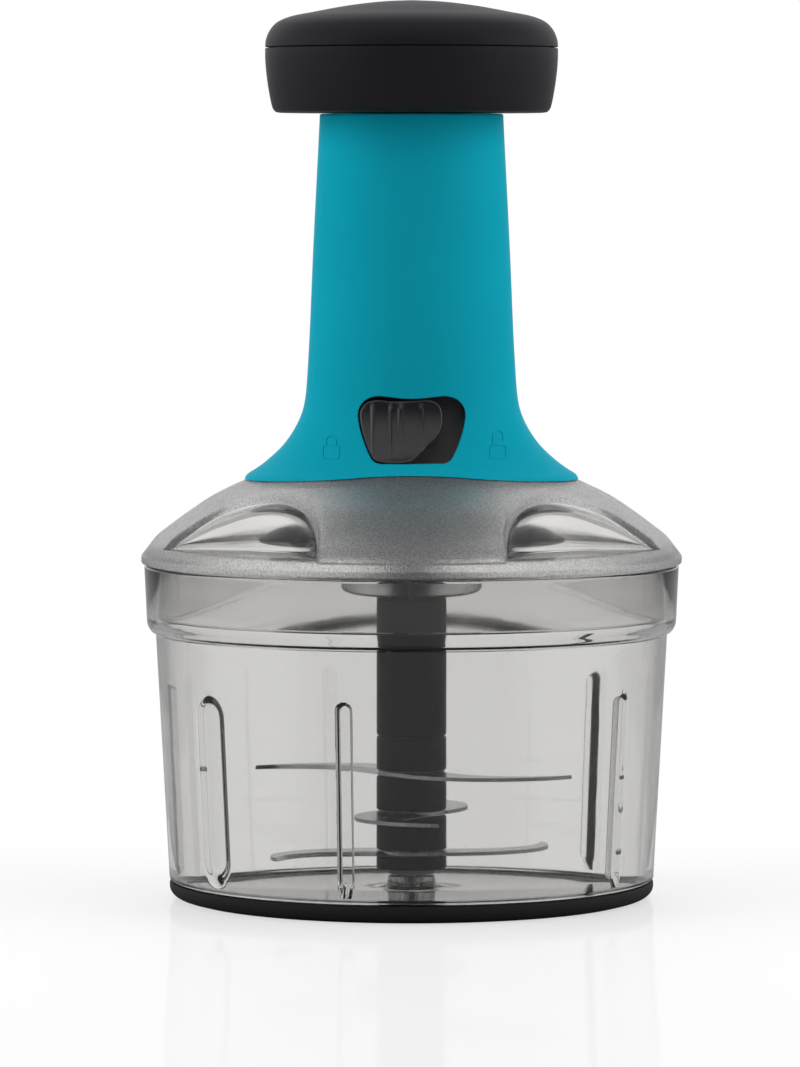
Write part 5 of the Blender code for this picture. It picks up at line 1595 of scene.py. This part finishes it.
@dataclass
class Lock:
    """The slide lock: a fluted button in the housing's window."""

    travel: float = 0.0055
    end_room: float = 0.0009
    proud: float = 0.0002
    edge: float = 0.0007
    tray_depth: float = 0.0042
    tray_floor: float = 0.0015
    tray_margin: float = 0.0020
    gap: float = 0.0004
    ridge_fade: float = 0.0022
    ridge_low_share: float = 0.08
    ridge_high_share: float = 0.92
    rings: int = 80
    tray_rings: int = 12
    outline_steps: int = 16
    ridges: tuple[tuple[float, float, float], ...] = (      # sideways, half width, height
        (-0.0107, 0.0006, 0.00055), (-0.0058, 0.0006, 0.00060), (-0.0030, 0.0012, 0.00055), (0.0026, 0.0010, 0.00035),
    )
    left_shares: tuple[Point, ...] = (
        (-0.600, 0.019), (-0.703, 0.060), (-0.785, 0.164), (-0.877, 0.344), (-0.952, 0.563),
        (-0.976, 0.727), (-0.949, 0.814), (-0.846, 0.907), (-0.642, 0.950),
    )
    right_shares: tuple[Point, ...] = (
        (0.40, 0.935), (0.70, 0.945), (0.85, 0.950), (0.955, 0.896), (1.0, 0.787), (1.0, 0.557), (0.94, 0.393),
        (0.82, 0.246), (0.72, 0.115), (0.60, 0.019),
    )

    def ridge_at(self, housing: Housing, sideways: float, height: float) -> float:
        """How far the ridges stand out at a place on the button's front."""
        low = housing.window_z + housing.window_height * self.ridge_low_share
        high = housing.window_z + housing.window_height * self.ridge_high_share
        fade = min((height - low) / self.ridge_fade, (high - height) / self.ridge_fade, 1.0)
        if fade <= 0.0:
            return 0.0
        stand = 0.0
        for middle, half, tall in self.ridges:
            away = (sideways - middle) / half
            if abs(away) < 1.0:
                stand = max(stand, tall * (1.0 - away * away) ** 2)
        return stand * fade * fade * (3.0 - 2.0 * fade)

    def stacked(self, name: str, layers: Sequence[Sequence[tuple[float, float, float]]]) -> bpy.types.Mesh:
        """A closed mesh from rings with as many points each, the first and last drawn to a point."""
        count = len(layers[0])
        points = [point for layer in layers for point in layer]
        faces = []
        for layer in range(len(layers) - 1):
            for index in range(count):
                after = (index + 1) % count
                first, second = layer * count, (layer + 1) * count
                faces.append((first + index, first + after, second + after, second + index))
        return closed(mesh_from(name, points, faces), math.radians(24.0))

    def button(self, housing: Housing, finishes: Finishes) -> None:
        """The button, ring by ring from its middle, then its sides and its back."""
        half, low, tall = housing.window_half_width, housing.window_z, housing.window_height
        right = half - self.travel - self.end_room
        corners = scaled(self.left_shares, 0.0, half, low, tall)
        corners += scaled(self.right_shares, -half, half + right, low, tall)
        edge = [Vector(point) for point in flowing(corners, self.outline_steps, ring=True)]
        centre = sum(edge, Vector((0.0, 0.0))) / len(edge)
        inner = [(up, radius) for radius, up in housing.inner]
        layers = []
        for ring in range(self.rings + 1):
            share = math.sin(math.pi / 2 * ring / self.rings)
            layer = []
            for place in edge:
                at = centre.lerp(place, share)
                room = min((1.0 - share) * (place - centre).length, self.edge)
                round_off = self.edge - math.sqrt(self.edge ** 2 - (self.edge - room) ** 2)
                depth = housing.front_at(at.x, at.y, self.proud) + round_off
                layer.append((at.x, depth - self.ridge_at(housing, at.x, at.y), at.y))
            layers.append(layer)
        for share in stretch_between(1.0, 0.0, self.tray_rings):
            layer = []
            for place in edge:
                at = centre.lerp(place, share)
                back = -value_at(inner, at.y) * housing.depth_share + self.tray_depth - self.gap
                layer.append((at.x, back, at.y))
            layers.append(layer)
        mesh = self.stacked("lock_button", layers)
        mesh.materials.append(finishes[Slot.LOCK])
        dress("ridged_lock_button", mesh, Body.LOCK, Slot.LOCK, ["lock_button"])

    def tray(self, housing: Housing, finishes: Finishes) -> None:
        """The dish behind the window, in which the button slides; its grey is painted lighter than the lock's black, to
        lift the shade in the recess.
        """
        edge = [Vector(point) for point in housing.window()]
        wide = [Vector(point) for point in housing.window(self.tray_margin)]
        centre = sum(edge, Vector((0.0, 0.0))) / len(edge)
        inner = [(up, radius) for radius, up in housing.inner]

        def placed(at: Vector, behind: float, rim: float) -> tuple[float, float, float]:
            """A point behind the housing's slope by one depth, and behind its inner face by another."""
            radius = value_at(inner, at.y)
            flat = -radius * housing.depth_share + behind
            curved = -housing.depth_share * math.sqrt(max(radius * radius - at.x * at.x, 0.0)) + rim
            return at.x, max(flat, curved), at.y

        back = self.tray_depth + self.tray_floor
        layers = []
        for share in stretch_between(0.0, 1.0, self.tray_rings):
            layers.append([placed(centre.lerp(place, share), self.tray_depth, 2 * self.gap) for place in edge])
        layers.append([placed(place, self.gap, self.gap) for place in edge])
        layers.append([placed(place, self.gap, self.gap) for place in wide])
        for share in stretch_between(1.0, 0.0, self.tray_rings):
            layers.append([placed(centre.lerp(place, share), back, 6 * self.gap) for place in wide])
        mesh = self.stacked("lock_tray", layers)
        mesh.materials.append(finishes.tray)
        dress("grained_lock_tray", mesh, Body.LID, Slot.LOCK, ["lock_tray"])

    def build(self, housing: Housing, finishes: Finishes) -> None:
        """Build the button and the dish that it slides in."""
        self.button(housing, finishes)
        self.tray(housing, finishes)


@dataclass
class Knob:
    """The palm knob in two shells and the sleeve that it presses down."""

    wall: float = 0.0022
    floor: float = 0.0025
    lip_height: float = 0.0019
    lip_wall: float = 0.0017
    gap: float = 0.0003
    seam_round: float = 0.0003
    sides: int = 180
    sleeve_wall: float = 0.0020
    sleeve_ledge: float = 0.0015
    flange: float = 0.0018
    flange_height: float = 0.0030
    solid_top: float = 0.0060
    base_shares: tuple[Point, ...] = (
        (0.900, 0.0), (0.926, 0.012), (0.942, 0.045), (0.952, 0.09), (0.976, 0.35), (0.993, 0.63), (1.0, 0.84),
    )
    cap_shares: tuple[Point, ...] = (
        (1.0, 0.0), (0.997, 0.12), (0.985, 0.25), (0.965, 0.37), (0.925, 0.51), (0.842, 0.635),
        (0.658, 0.755), (0.440, 0.880), (0.215, 0.965), (0.0, 1.0),
    )

    def base(self, shop: Workshop, finishes: Finishes) -> None:
        """The lower shell, with the lip that the cap sits round."""
        size = span("knob_base")
        seam = span("knob_cap").low - self.gap
        side = flowing(scaled(self.base_shares, 0.0, size.reach, size.low, seam - size.low), 6)
        lip = size.reach - self.wall - self.gap
        inside = lip - self.lip_wall
        floor_z = size.low + self.floor
        shoulder = rounded([
            Corner(*side[-1]), Corner(size.reach, seam, self.seam_round), Corner(lip, seam),
            Corner(lip, seam + self.lip_height, self.seam_round),
            Corner(inside, seam + self.lip_height, self.seam_round),
            Corner(inside, floor_z, self.wall), Corner(0.0, floor_z),
        ])
        outline = [(0.0, size.low), *side[:-1], *shoulder]
        mesh = shop.turned("knob_base", outline, finishes[Slot.KNOB], self.sides)
        dress("palm_knob_base", mesh, Body.HANDLE, Slot.KNOB, ["knob_base"])

    def cap(self, shop: Workshop, finishes: Finishes) -> None:
        """The rounded upper shell that the palm rests on."""
        size = span("knob_cap")
        outer = flowing(scaled(self.cap_shares, 0.0, size.reach, size.low, size.high - size.low), 8)
        inner = offset(outer, self.wall)
        under = rounded([
            Corner(*inner[1]), Corner(size.reach - self.wall, size.low, self.seam_round),
            Corner(size.reach, size.low, self.seam_round), Corner(*outer[1]),
        ])
        hollow = [point for point in reversed(inner[2:-1]) if point[0] > 0.0]
        outline = [(0.0, size.high - self.wall), *hollow, *under, *outer[2:]]
        mesh = shop.turned("knob_cap", outline, finishes[Slot.KNOB], self.sides)
        dress("palm_knob_cap", mesh, Body.HANDLE, Slot.KNOB, ["knob_cap"])

    def sleeve(self, shop: Workshop, finishes: Finishes) -> None:
        """The press sleeve, with its stop flange and the ledge over the nut."""
        size, nut = span("press_sleeve"), span("drive_nut")
        radius = size.reach - self.flange
        bore = radius - self.sleeve_wall
        upper = bore - self.sleeve_ledge
        ledge, solid = nut.high + self.gap, size.high - self.solid_top
        mesh = shop.turned("press_sleeve", rounded([
            Corner(0.0, size.high), Corner(radius, size.high, self.seam_round),
            Corner(radius, size.low + self.flange_height, 0.0008),
            Corner(size.reach, size.low + self.flange_height, 0.0006), Corner(size.reach, size.low, 0.0006),
            Corner(bore, size.low, 0.0004), Corner(bore, ledge), Corner(upper, ledge), Corner(upper, solid),
            Corner(0.0, solid),
        ]), finishes[Slot.BLACK], 120)
        dress("black_press_sleeve", mesh, Body.HANDLE, Slot.BLACK, ["press_sleeve"])

    def build(self, shop: Workshop, finishes: Finishes) -> None:
        """Build the three turned pieces."""
        self.base(shop, finishes)
        self.cap(shop, finishes)
        self.sleeve(shop, finishes)


@dataclass
class Screws:
    """Pan-head screws with a cross recess, set round the axis."""

    shank: float = 0.0015
    head: float = 0.0030
    head_height: float = 0.0021
    thread_pitch: float = 0.0010
    thread_depth: float = 0.0003
    slot_width: float = 0.0009
    slot_length: float = 0.0036
    slot_depth: float = 0.0011

    def mesh(self, shop: Workshop, finishes: Finishes, length: float) -> bpy.types.Mesh:
        """One screw, its head's underside at zero and its shank upwards.

        Args:
            shop: The shared trees.
            finishes: The finishes.
            length: The shank's length.

        Returns:
            The screw's mesh.
        """
        outline = rounded([
            Corner(0.0, -self.head_height), Corner(self.head, -self.head_height, 0.0012),
            Corner(self.head, 0.0, 0.0003), Corner(self.shank, 0.0),
        ])
        height = self.thread_pitch
        while height < length - self.thread_pitch:
            outline += [
                (self.shank, height), (self.shank - self.thread_depth, height + self.thread_pitch / 2),
            ]
            height += self.thread_pitch
        outline += [(self.shank, height), (self.shank / 2, length), (0.0, length)]
        screw = shop.turned("screw", outline, finishes[Slot.SCREWS], 32)
        for along, across in ((self.slot_length, self.slot_width), (self.slot_width, self.slot_length)):
            low, high = -self.head_height - self.slot_depth, -self.head_height + self.slot_depth
            corners = [
                (x * along / 2, y * across / 2, z)
                for x, y, z in (
                    (-1, -1, low), (1, -1, low), (1, 1, low), (-1, 1, low),
                    (-1, -1, high), (1, -1, high), (1, 1, high), (-1, 1, high),
                )
            ]
            sides = [(0, 1, 2, 3), (4, 5, 6, 7), (0, 1, 5, 4), (1, 2, 6, 5), (2, 3, 7, 6), (3, 0, 4, 7)]
            screw = carved(screw, closed(mesh_from("slot", corners, sides)))
        return closed(screw)

    def build(self, shop: Workshop, finishes: Finishes) -> None:
        """Set the housing's four screws and the knob's three."""
        low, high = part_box("housing_screw_1")
        screw = self.mesh(shop, finishes, high.z - low.z - self.head_height)
        circle = math.hypot((low.x + high.x) / 2, (low.y + high.y) / 2)
        screw.transform(Matrix.Translation((circle, 0.0, low.z + self.head_height)))
        nodes = [f"housing_screw_{index + 1}" for index in range(4)]
        mesh = shop.copies(screw, finishes[Slot.SCREWS], len(nodes), math.radians(45.0))
        dress("housing_screws", mesh, Body.LID, Slot.SCREWS, nodes)
        low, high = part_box("knob_screw_1")
        screw = self.mesh(shop, finishes, high.z - low.z - self.head_height)
        circle = math.hypot((low.x + high.x) / 2, (low.y + high.y) / 2)
        screw.transform(Matrix.Rotation(math.pi, 4, "X"))
        screw.transform(Matrix.Translation((circle, 0.0, high.z - self.head_height)))
        nodes = [f"knob_screw_{index + 1}" for index in range(3)]
        mesh = shop.copies(screw, finishes[Slot.SCREWS], len(nodes), math.radians(90.0))
        dress("knob_screws", mesh, Body.HANDLE, Slot.SCREWS, nodes)


@dataclass
class DriveTrain:
    """The drive screw, its socket and the return spring."""

    core: float = 0.0060
    groove_depth: float = 0.0011
    grooves: int = 4
    groove_points: int = 12
    lead: float = 0.0300
    thrust_radius: float = 0.0092
    thrust_height: float = 0.0015
    journal: float = 0.0055
    hex_radius: float = 0.0064
    hex_depth: float = 0.0136
    journal_depth: float = 0.0162
    wire: float = 0.0007
    spring_turns: float = 9.0
    twist_points: int = 120

    def screw(self, shop: Workshop, finishes: Finishes) -> None:
        """The four-start screw on its thrust flange and journal."""
        size = span("drive_screw")
        washer = span("drive_washer")
        thrust_z = washer.high + 0.0003
        thread_z = thrust_z + self.thrust_height
        stem = shop.turned("journal", rounded([
            Corner(0.0, thread_z), Corner(self.thrust_radius, thread_z, 0.0004),
            Corner(self.thrust_radius, thrust_z, 0.0003), Corner(self.journal, thrust_z),
            Corner(self.journal, size.low, 0.0004), Corner(0.0, size.low),
        ]), finishes[Slot.STEEL], 64)
        count = self.grooves * self.groove_points
        section = []
        for index in range(count):
            angle = math.tau * index / count
            depth = self.groove_depth * (1.0 - math.cos(self.grooves * angle)) / 2
            section.append(((self.core - depth) * math.cos(angle), (self.core - depth) * math.sin(angle), 0.0))
        flat = bpy.data.meshes.new("section")
        flat.from_pydata(section, [(index, (index + 1) % count) for index in range(count)], [])
        bottom = thread_z - self.thrust_height / 2
        bar = shop.twisting.run(
            flat, finishes[Slot.STEEL], bottom=bottom, top=size.high,
            turns=(size.high - bottom) / self.lead, points=self.twist_points,
        )
        mesh = joined("drive_screw", [stem, bar])
        dress("four_start_drive_screw", mesh, Body.DRIVE, Slot.STEEL, ["drive_screw"])

    def socket(self, shop: Workshop, finishes: Finishes) -> None:
        """The socket under the lid that takes the column's hexagon."""
        size = span("drive_socket")
        bore_top, hole_z = size.low + self.hex_depth, size.high - self.journal_depth
        barrel = shop.turned("socket", rounded([
            Corner(0.0, hole_z), Corner(self.journal + 0.0003, hole_z), Corner(self.journal + 0.0003, size.high),
            Corner(size.reach, size.high, 0.0005), Corner(size.reach, size.low, 0.0008), Corner(0.0, size.low),
        ]), finishes[Slot.BLACK], 96)
        bore = shop.turned("bore", [
            (0.0, bore_top), (self.hex_radius, bore_top), (self.hex_radius, size.low - 0.0010),
            (0.0, size.low - 0.0010),
        ], finishes[Slot.BLACK], 6)
        mesh = closed(carved(barrel, bore))
        dress("hexagon_drive_socket", mesh, Body.DRIVE, Slot.BLACK, ["drive_socket"])

    def spring(self, shop: Workshop, finishes: Finishes) -> None:
        """The return spring, wound at its imported length between the lid and the handle."""
        size = span("return_spring")
        radius = size.reach - self.wire
        mesh = shop.coiling.run(
            bpy.data.meshes.new("return_spring"), finishes[Slot.STEEL], turns=self.spring_turns, radius=radius,
            height=size.high - size.low - 2 * self.wire, start=size.low + self.wire, wire=self.wire, points=32,
        )
        item = bpy.data.objects.new("wound_return_spring", mesh)
        bpy.context.scene.collection.objects.link(item)
        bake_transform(item)
        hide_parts("return_spring")
        LOG.info("wound_return_spring: %d faces, between lid and handle", len(mesh.polygons))

    def build(self, shop: Workshop, finishes: Finishes) -> None:
        """Build the three pieces."""
        self.screw(shop, finishes)
        self.socket(shop, finishes)
        self.spring(shop, finishes)


@dataclass(frozen=True)
class Lamp:
    """A soft square lamp that looks at the middle of the object."""

    name: str
    place: tuple[float, float, float]
    width: float
    height: float
    power: float

    def build(self, target: Vector) -> None:
        """Hang the lamp and turn it to its target."""
        data = bpy.data.lights.new(self.name, "AREA")
        data.shape = "RECTANGLE"
        data.size, data.size_y, data.energy = self.width, self.height, self.power
        item = bpy.data.objects.new(self.name, data)
        bpy.context.scene.collection.objects.link(item)
        item.location = self.place
        item.rotation_euler = (target - Vector(self.place)).to_track_quat("-Z", "Y").to_euler()
        item.visible_camera = item.visible_glossy = item.visible_transmission = False


@dataclass
class Studio:
    """A pale floor, soft lamps, a white surround and the camera."""

    floor_size: float = 12.0
    floor_colour: float = 0.60
    mirrored_floor: float = 0.24    # the floor's colour as it is seen in reflections
    floor_glow: float = 0.690
    fade_start: float = 0.35        # from the middle of the floor
    fade_end: float = 1.60
    gloss: float = 0.12
    gloss_roughness: float = 0.07
    surround: float = 1.0
    dim_surround: float = 0.16      # in reflections, in front of the object
    bright_sides: float = 1.5       # in reflections, to the left and right
    ambient: float = 0.22
    lens: float = 212.6
    camera_place: tuple[float, float, float] = (-0.0032, -1.747, 0.2048)
    camera_tilt: float = math.radians(90.0 - 3.39)
    lamps: tuple[Lamp, ...] = (
        Lamp("left_softbox", (-1.58, -0.34, 0.50), 1.8, 1.8, 29.5),
        Lamp("right_softbox", (1.58, -0.34, 0.50), 1.8, 1.8, 29.5),
        Lamp("top_softbox", (0.0, 0.1, 1.6), 1.2, 0.9, 9.0),
        Lamp("back_softbox", (0.0, 1.5, 1.1), 1.2, 0.9, 11.0),
    )

    def maths(
        self, tree: bpy.types.NodeTree, operation: str, first: bpy.types.NodeSocket,
        second: bpy.types.NodeSocket | float,
    ) -> bpy.types.NodeSocket:
        """The result of a sum of a source with another source or a value."""
        node = tree.nodes.new("ShaderNodeMath")
        node.operation = operation
        tree.links.new(first, node.inputs[0])
        if isinstance(second, bpy.types.NodeSocket):
            tree.links.new(second, node.inputs[1])
        else:
            node.inputs[1].default_value = second
        return node.outputs[0]

    def seen_directly(self, tree: bpy.types.NodeTree) -> bpy.types.NodeSocket:
        """One for rays from the camera, also straight through glass, else zero."""
        path = tree.nodes.new("ShaderNodeLightPath").outputs
        through = self.maths(tree, "MAXIMUM", path["Is Camera Ray"], path["Is Transmission Ray"])
        bounces = self.maths(tree, "ADD", path["Glossy Depth"], path["Diffuse Depth"])
        return self.maths(tree, "MULTIPLY", through, self.maths(tree, "LESS_THAN", bounces, 0.5))

    def mirrored(self, tree: bpy.types.NodeTree) -> bpy.types.NodeSocket:
        """One for rays that a glossy face has thrown back, else zero."""
        path = tree.nodes.new("ShaderNodeLightPath").outputs
        return self.maths(tree, "GREATER_THAN", path["Glossy Depth"], 0.5)

    def reflected(self, tree: bpy.types.NodeTree) -> bpy.types.NodeSocket:
        """How bright the surround is in reflections: bright to the sides, dim in front."""
        direction = tree.nodes.new("ShaderNodeTexCoord")
        parts = tree.nodes.new("ShaderNodeSeparateXYZ")
        tree.links.new(direction.outputs["Generated"], parts.inputs[0])
        sideways = self.maths(tree, "ABSOLUTE", parts.outputs["X"], 0.0)
        ramps = (
            (parts.outputs["Y"], -0.35, 0.75, self.surround),
            (parts.outputs["Z"], 0.30, 0.80, self.surround),
            (sideways, 0.70, 0.98, self.bright_sides),
        )
        brightest = None
        for source, low, high, strength in ramps:
            spread = tree.nodes.new("ShaderNodeMapRange")
            spread.interpolation_type = "SMOOTHSTEP"
            spread.inputs["From Min"].default_value = low
            spread.inputs["From Max"].default_value = high
            spread.inputs["To Min"].default_value = self.dim_surround
            spread.inputs["To Max"].default_value = strength
            tree.links.new(source, spread.inputs["Value"])
            if brightest is None:
                brightest = spread.outputs["Result"]
                continue
            brightest = self.maths(tree, "MAXIMUM", brightest, spread.outputs["Result"])
        return brightest

    def fade(self, tree: bpy.types.NodeTree) -> bpy.types.NodeSocket:
        """Zero near the middle of the floor, one where it runs out into the background."""
        places = tree.nodes.new("ShaderNodeTexCoord")
        length = tree.nodes.new("ShaderNodeVectorMath")
        length.operation = "LENGTH"
        tree.links.new(places.outputs["Object"], length.inputs[0])
        spread = tree.nodes.new("ShaderNodeMapRange")
        spread.interpolation_type = "SMOOTHSTEP"
        spread.inputs["From Min"].default_value = self.fade_start
        spread.inputs["From Max"].default_value = self.fade_end
        tree.links.new(length.outputs["Value"], spread.inputs["Value"])
        return spread.outputs["Result"]

    def world(self) -> None:
        """A white surround that lights the object more softly than it looks."""
        world = bpy.data.worlds.new("surround")
        bpy.context.scene.world = world
        world.use_nodes = True
        tree = world.node_tree
        lights = [tree.nodes["Background"], *(tree.nodes.new("ShaderNodeBackground") for _ in range(2))]
        for light, strength in zip(lights, (self.ambient, self.surround, self.surround)):
            light.inputs["Color"].default_value = (1.0, 1.0, 1.0, 1.0)
            light.inputs["Strength"].default_value = strength
        ambient, mirrored, seen = lights
        tree.links.new(self.reflected(tree), mirrored.inputs["Strength"])
        first, second = tree.nodes.new("ShaderNodeMixShader"), tree.nodes.new("ShaderNodeMixShader")
        tree.links.new(self.mirrored(tree), first.inputs["Fac"])
        tree.links.new(ambient.outputs[0], first.inputs[1])
        tree.links.new(mirrored.outputs[0], first.inputs[2])
        tree.links.new(self.seen_directly(tree), second.inputs["Fac"])
        tree.links.new(first.outputs[0], second.inputs[1])
        tree.links.new(seen.outputs[0], second.inputs[2])
        tree.links.new(second.outputs[0], tree.nodes["World Output"].inputs["Surface"])

    def floor(self) -> None:
        """A white worktop that keeps a soft shadow and a faint reflection."""
        half = self.floor_size / 2
        mesh = mesh_from(
            "floor", [(-half, -half, 0.0), (half, -half, 0.0), (half, half, 0.0), (-half, half, 0.0)],
            [(0, 1, 2, 3)],
        )
        floor = bpy.data.objects.new("floor", mesh)
        bpy.context.scene.collection.objects.link(floor)
        material = bpy.data.materials.new("white_worktop")
        material.use_nodes = True
        tree = material.node_tree
        shader = tree.nodes["Principled BSDF"]
        colour = tree.nodes.new("ShaderNodeMapRange")
        colour.inputs["To Min"].default_value = self.floor_colour
        colour.inputs["To Max"].default_value = self.mirrored_floor
        tree.links.new(self.mirrored(tree), colour.inputs["Value"])
        tree.links.new(colour.outputs["Result"], shader.inputs["Base Color"])
        shader.inputs["Roughness"].default_value = 0.6
        shader.inputs["Specular IOR Level"].default_value = 0.0
        glow = tree.nodes.new("ShaderNodeEmission")
        glow.inputs["Strength"].default_value = self.floor_glow
        dull = tree.nodes.new("ShaderNodeBsdfDiffuse")
        dull.inputs["Color"].default_value = (0.30, 0.30, 0.30, 1.0)
        lit = tree.nodes.new("ShaderNodeAddShader")
        tree.links.new(glow.outputs[0], lit.inputs[0])
        tree.links.new(dull.outputs[0], lit.inputs[1])
        shine = tree.nodes.new("ShaderNodeBsdfGlossy")
        shine.inputs["Roughness"].default_value = self.gloss_roughness
        polished = tree.nodes.new("ShaderNodeMixShader")
        polished.inputs["Fac"].default_value = self.gloss
        tree.links.new(lit.outputs[0], polished.inputs[1])
        tree.links.new(shine.outputs[0], polished.inputs[2])
        white = tree.nodes.new("ShaderNodeEmission")
        faded = tree.nodes.new("ShaderNodeMixShader")
        tree.links.new(self.fade(tree), faded.inputs["Fac"])
        tree.links.new(polished.outputs[0], faded.inputs[1])
        tree.links.new(white.outputs[0], faded.inputs[2])
        mix = tree.nodes.new("ShaderNodeMixShader")
        tree.links.new(self.seen_directly(tree), mix.inputs["Fac"])
        tree.links.new(shader.outputs[0], mix.inputs[1])
        tree.links.new(faded.outputs[0], mix.inputs[2])
        tree.links.new(mix.outputs[0], tree.nodes["Material Output"].inputs["Surface"])
        mesh.materials.append(material)

    def camera(self) -> None:
        """The camera at the photograph's height, distance and tilt."""
        data = bpy.data.cameras.new("camera")
        data.lens = self.lens
        data.clip_end = 50.0
        item = bpy.data.objects.new("camera", data)
        bpy.context.scene.collection.objects.link(item)
        item.location = self.camera_place
        item.rotation_euler = (self.camera_tilt, 0.0, 0.0)
        bpy.context.scene.camera = item

    def build(self) -> None:
        """Set the whole studio up."""
        bpy.context.scene.view_settings.view_transform = "Standard"
        self.world()
        self.floor()
        self.camera()
        low, high = CAD_BOX
        for lamp in self.lamps:
            lamp.build((low + high) / 2)


def main() -> None:
    """Dress the chopper from the floor up, then light it."""
    logging.basicConfig(level=logging.INFO, format="%(name)s: %(message)s")
    finishes = Finishes()
    shop = Workshop()
    RubberBase().build(shop, finishes)
    Bowl().build(finishes)
    BladeStack().build(shop, finishes)
    lid = Lid()
    lid.build(finishes)
    DriveHouse().build(shop, finishes)
    housing = Housing()
    housing.fit(lid)
    housing.build(shop, finishes)
    Lock().build(housing, finishes)
    Knob().build(shop, finishes)
    Screws().build(shop, finishes)
    DriveTrain().build(shop, finishes)
    finishes.coat_nodes()
    Studio().build()


if __name__ == "__main__":
    main()
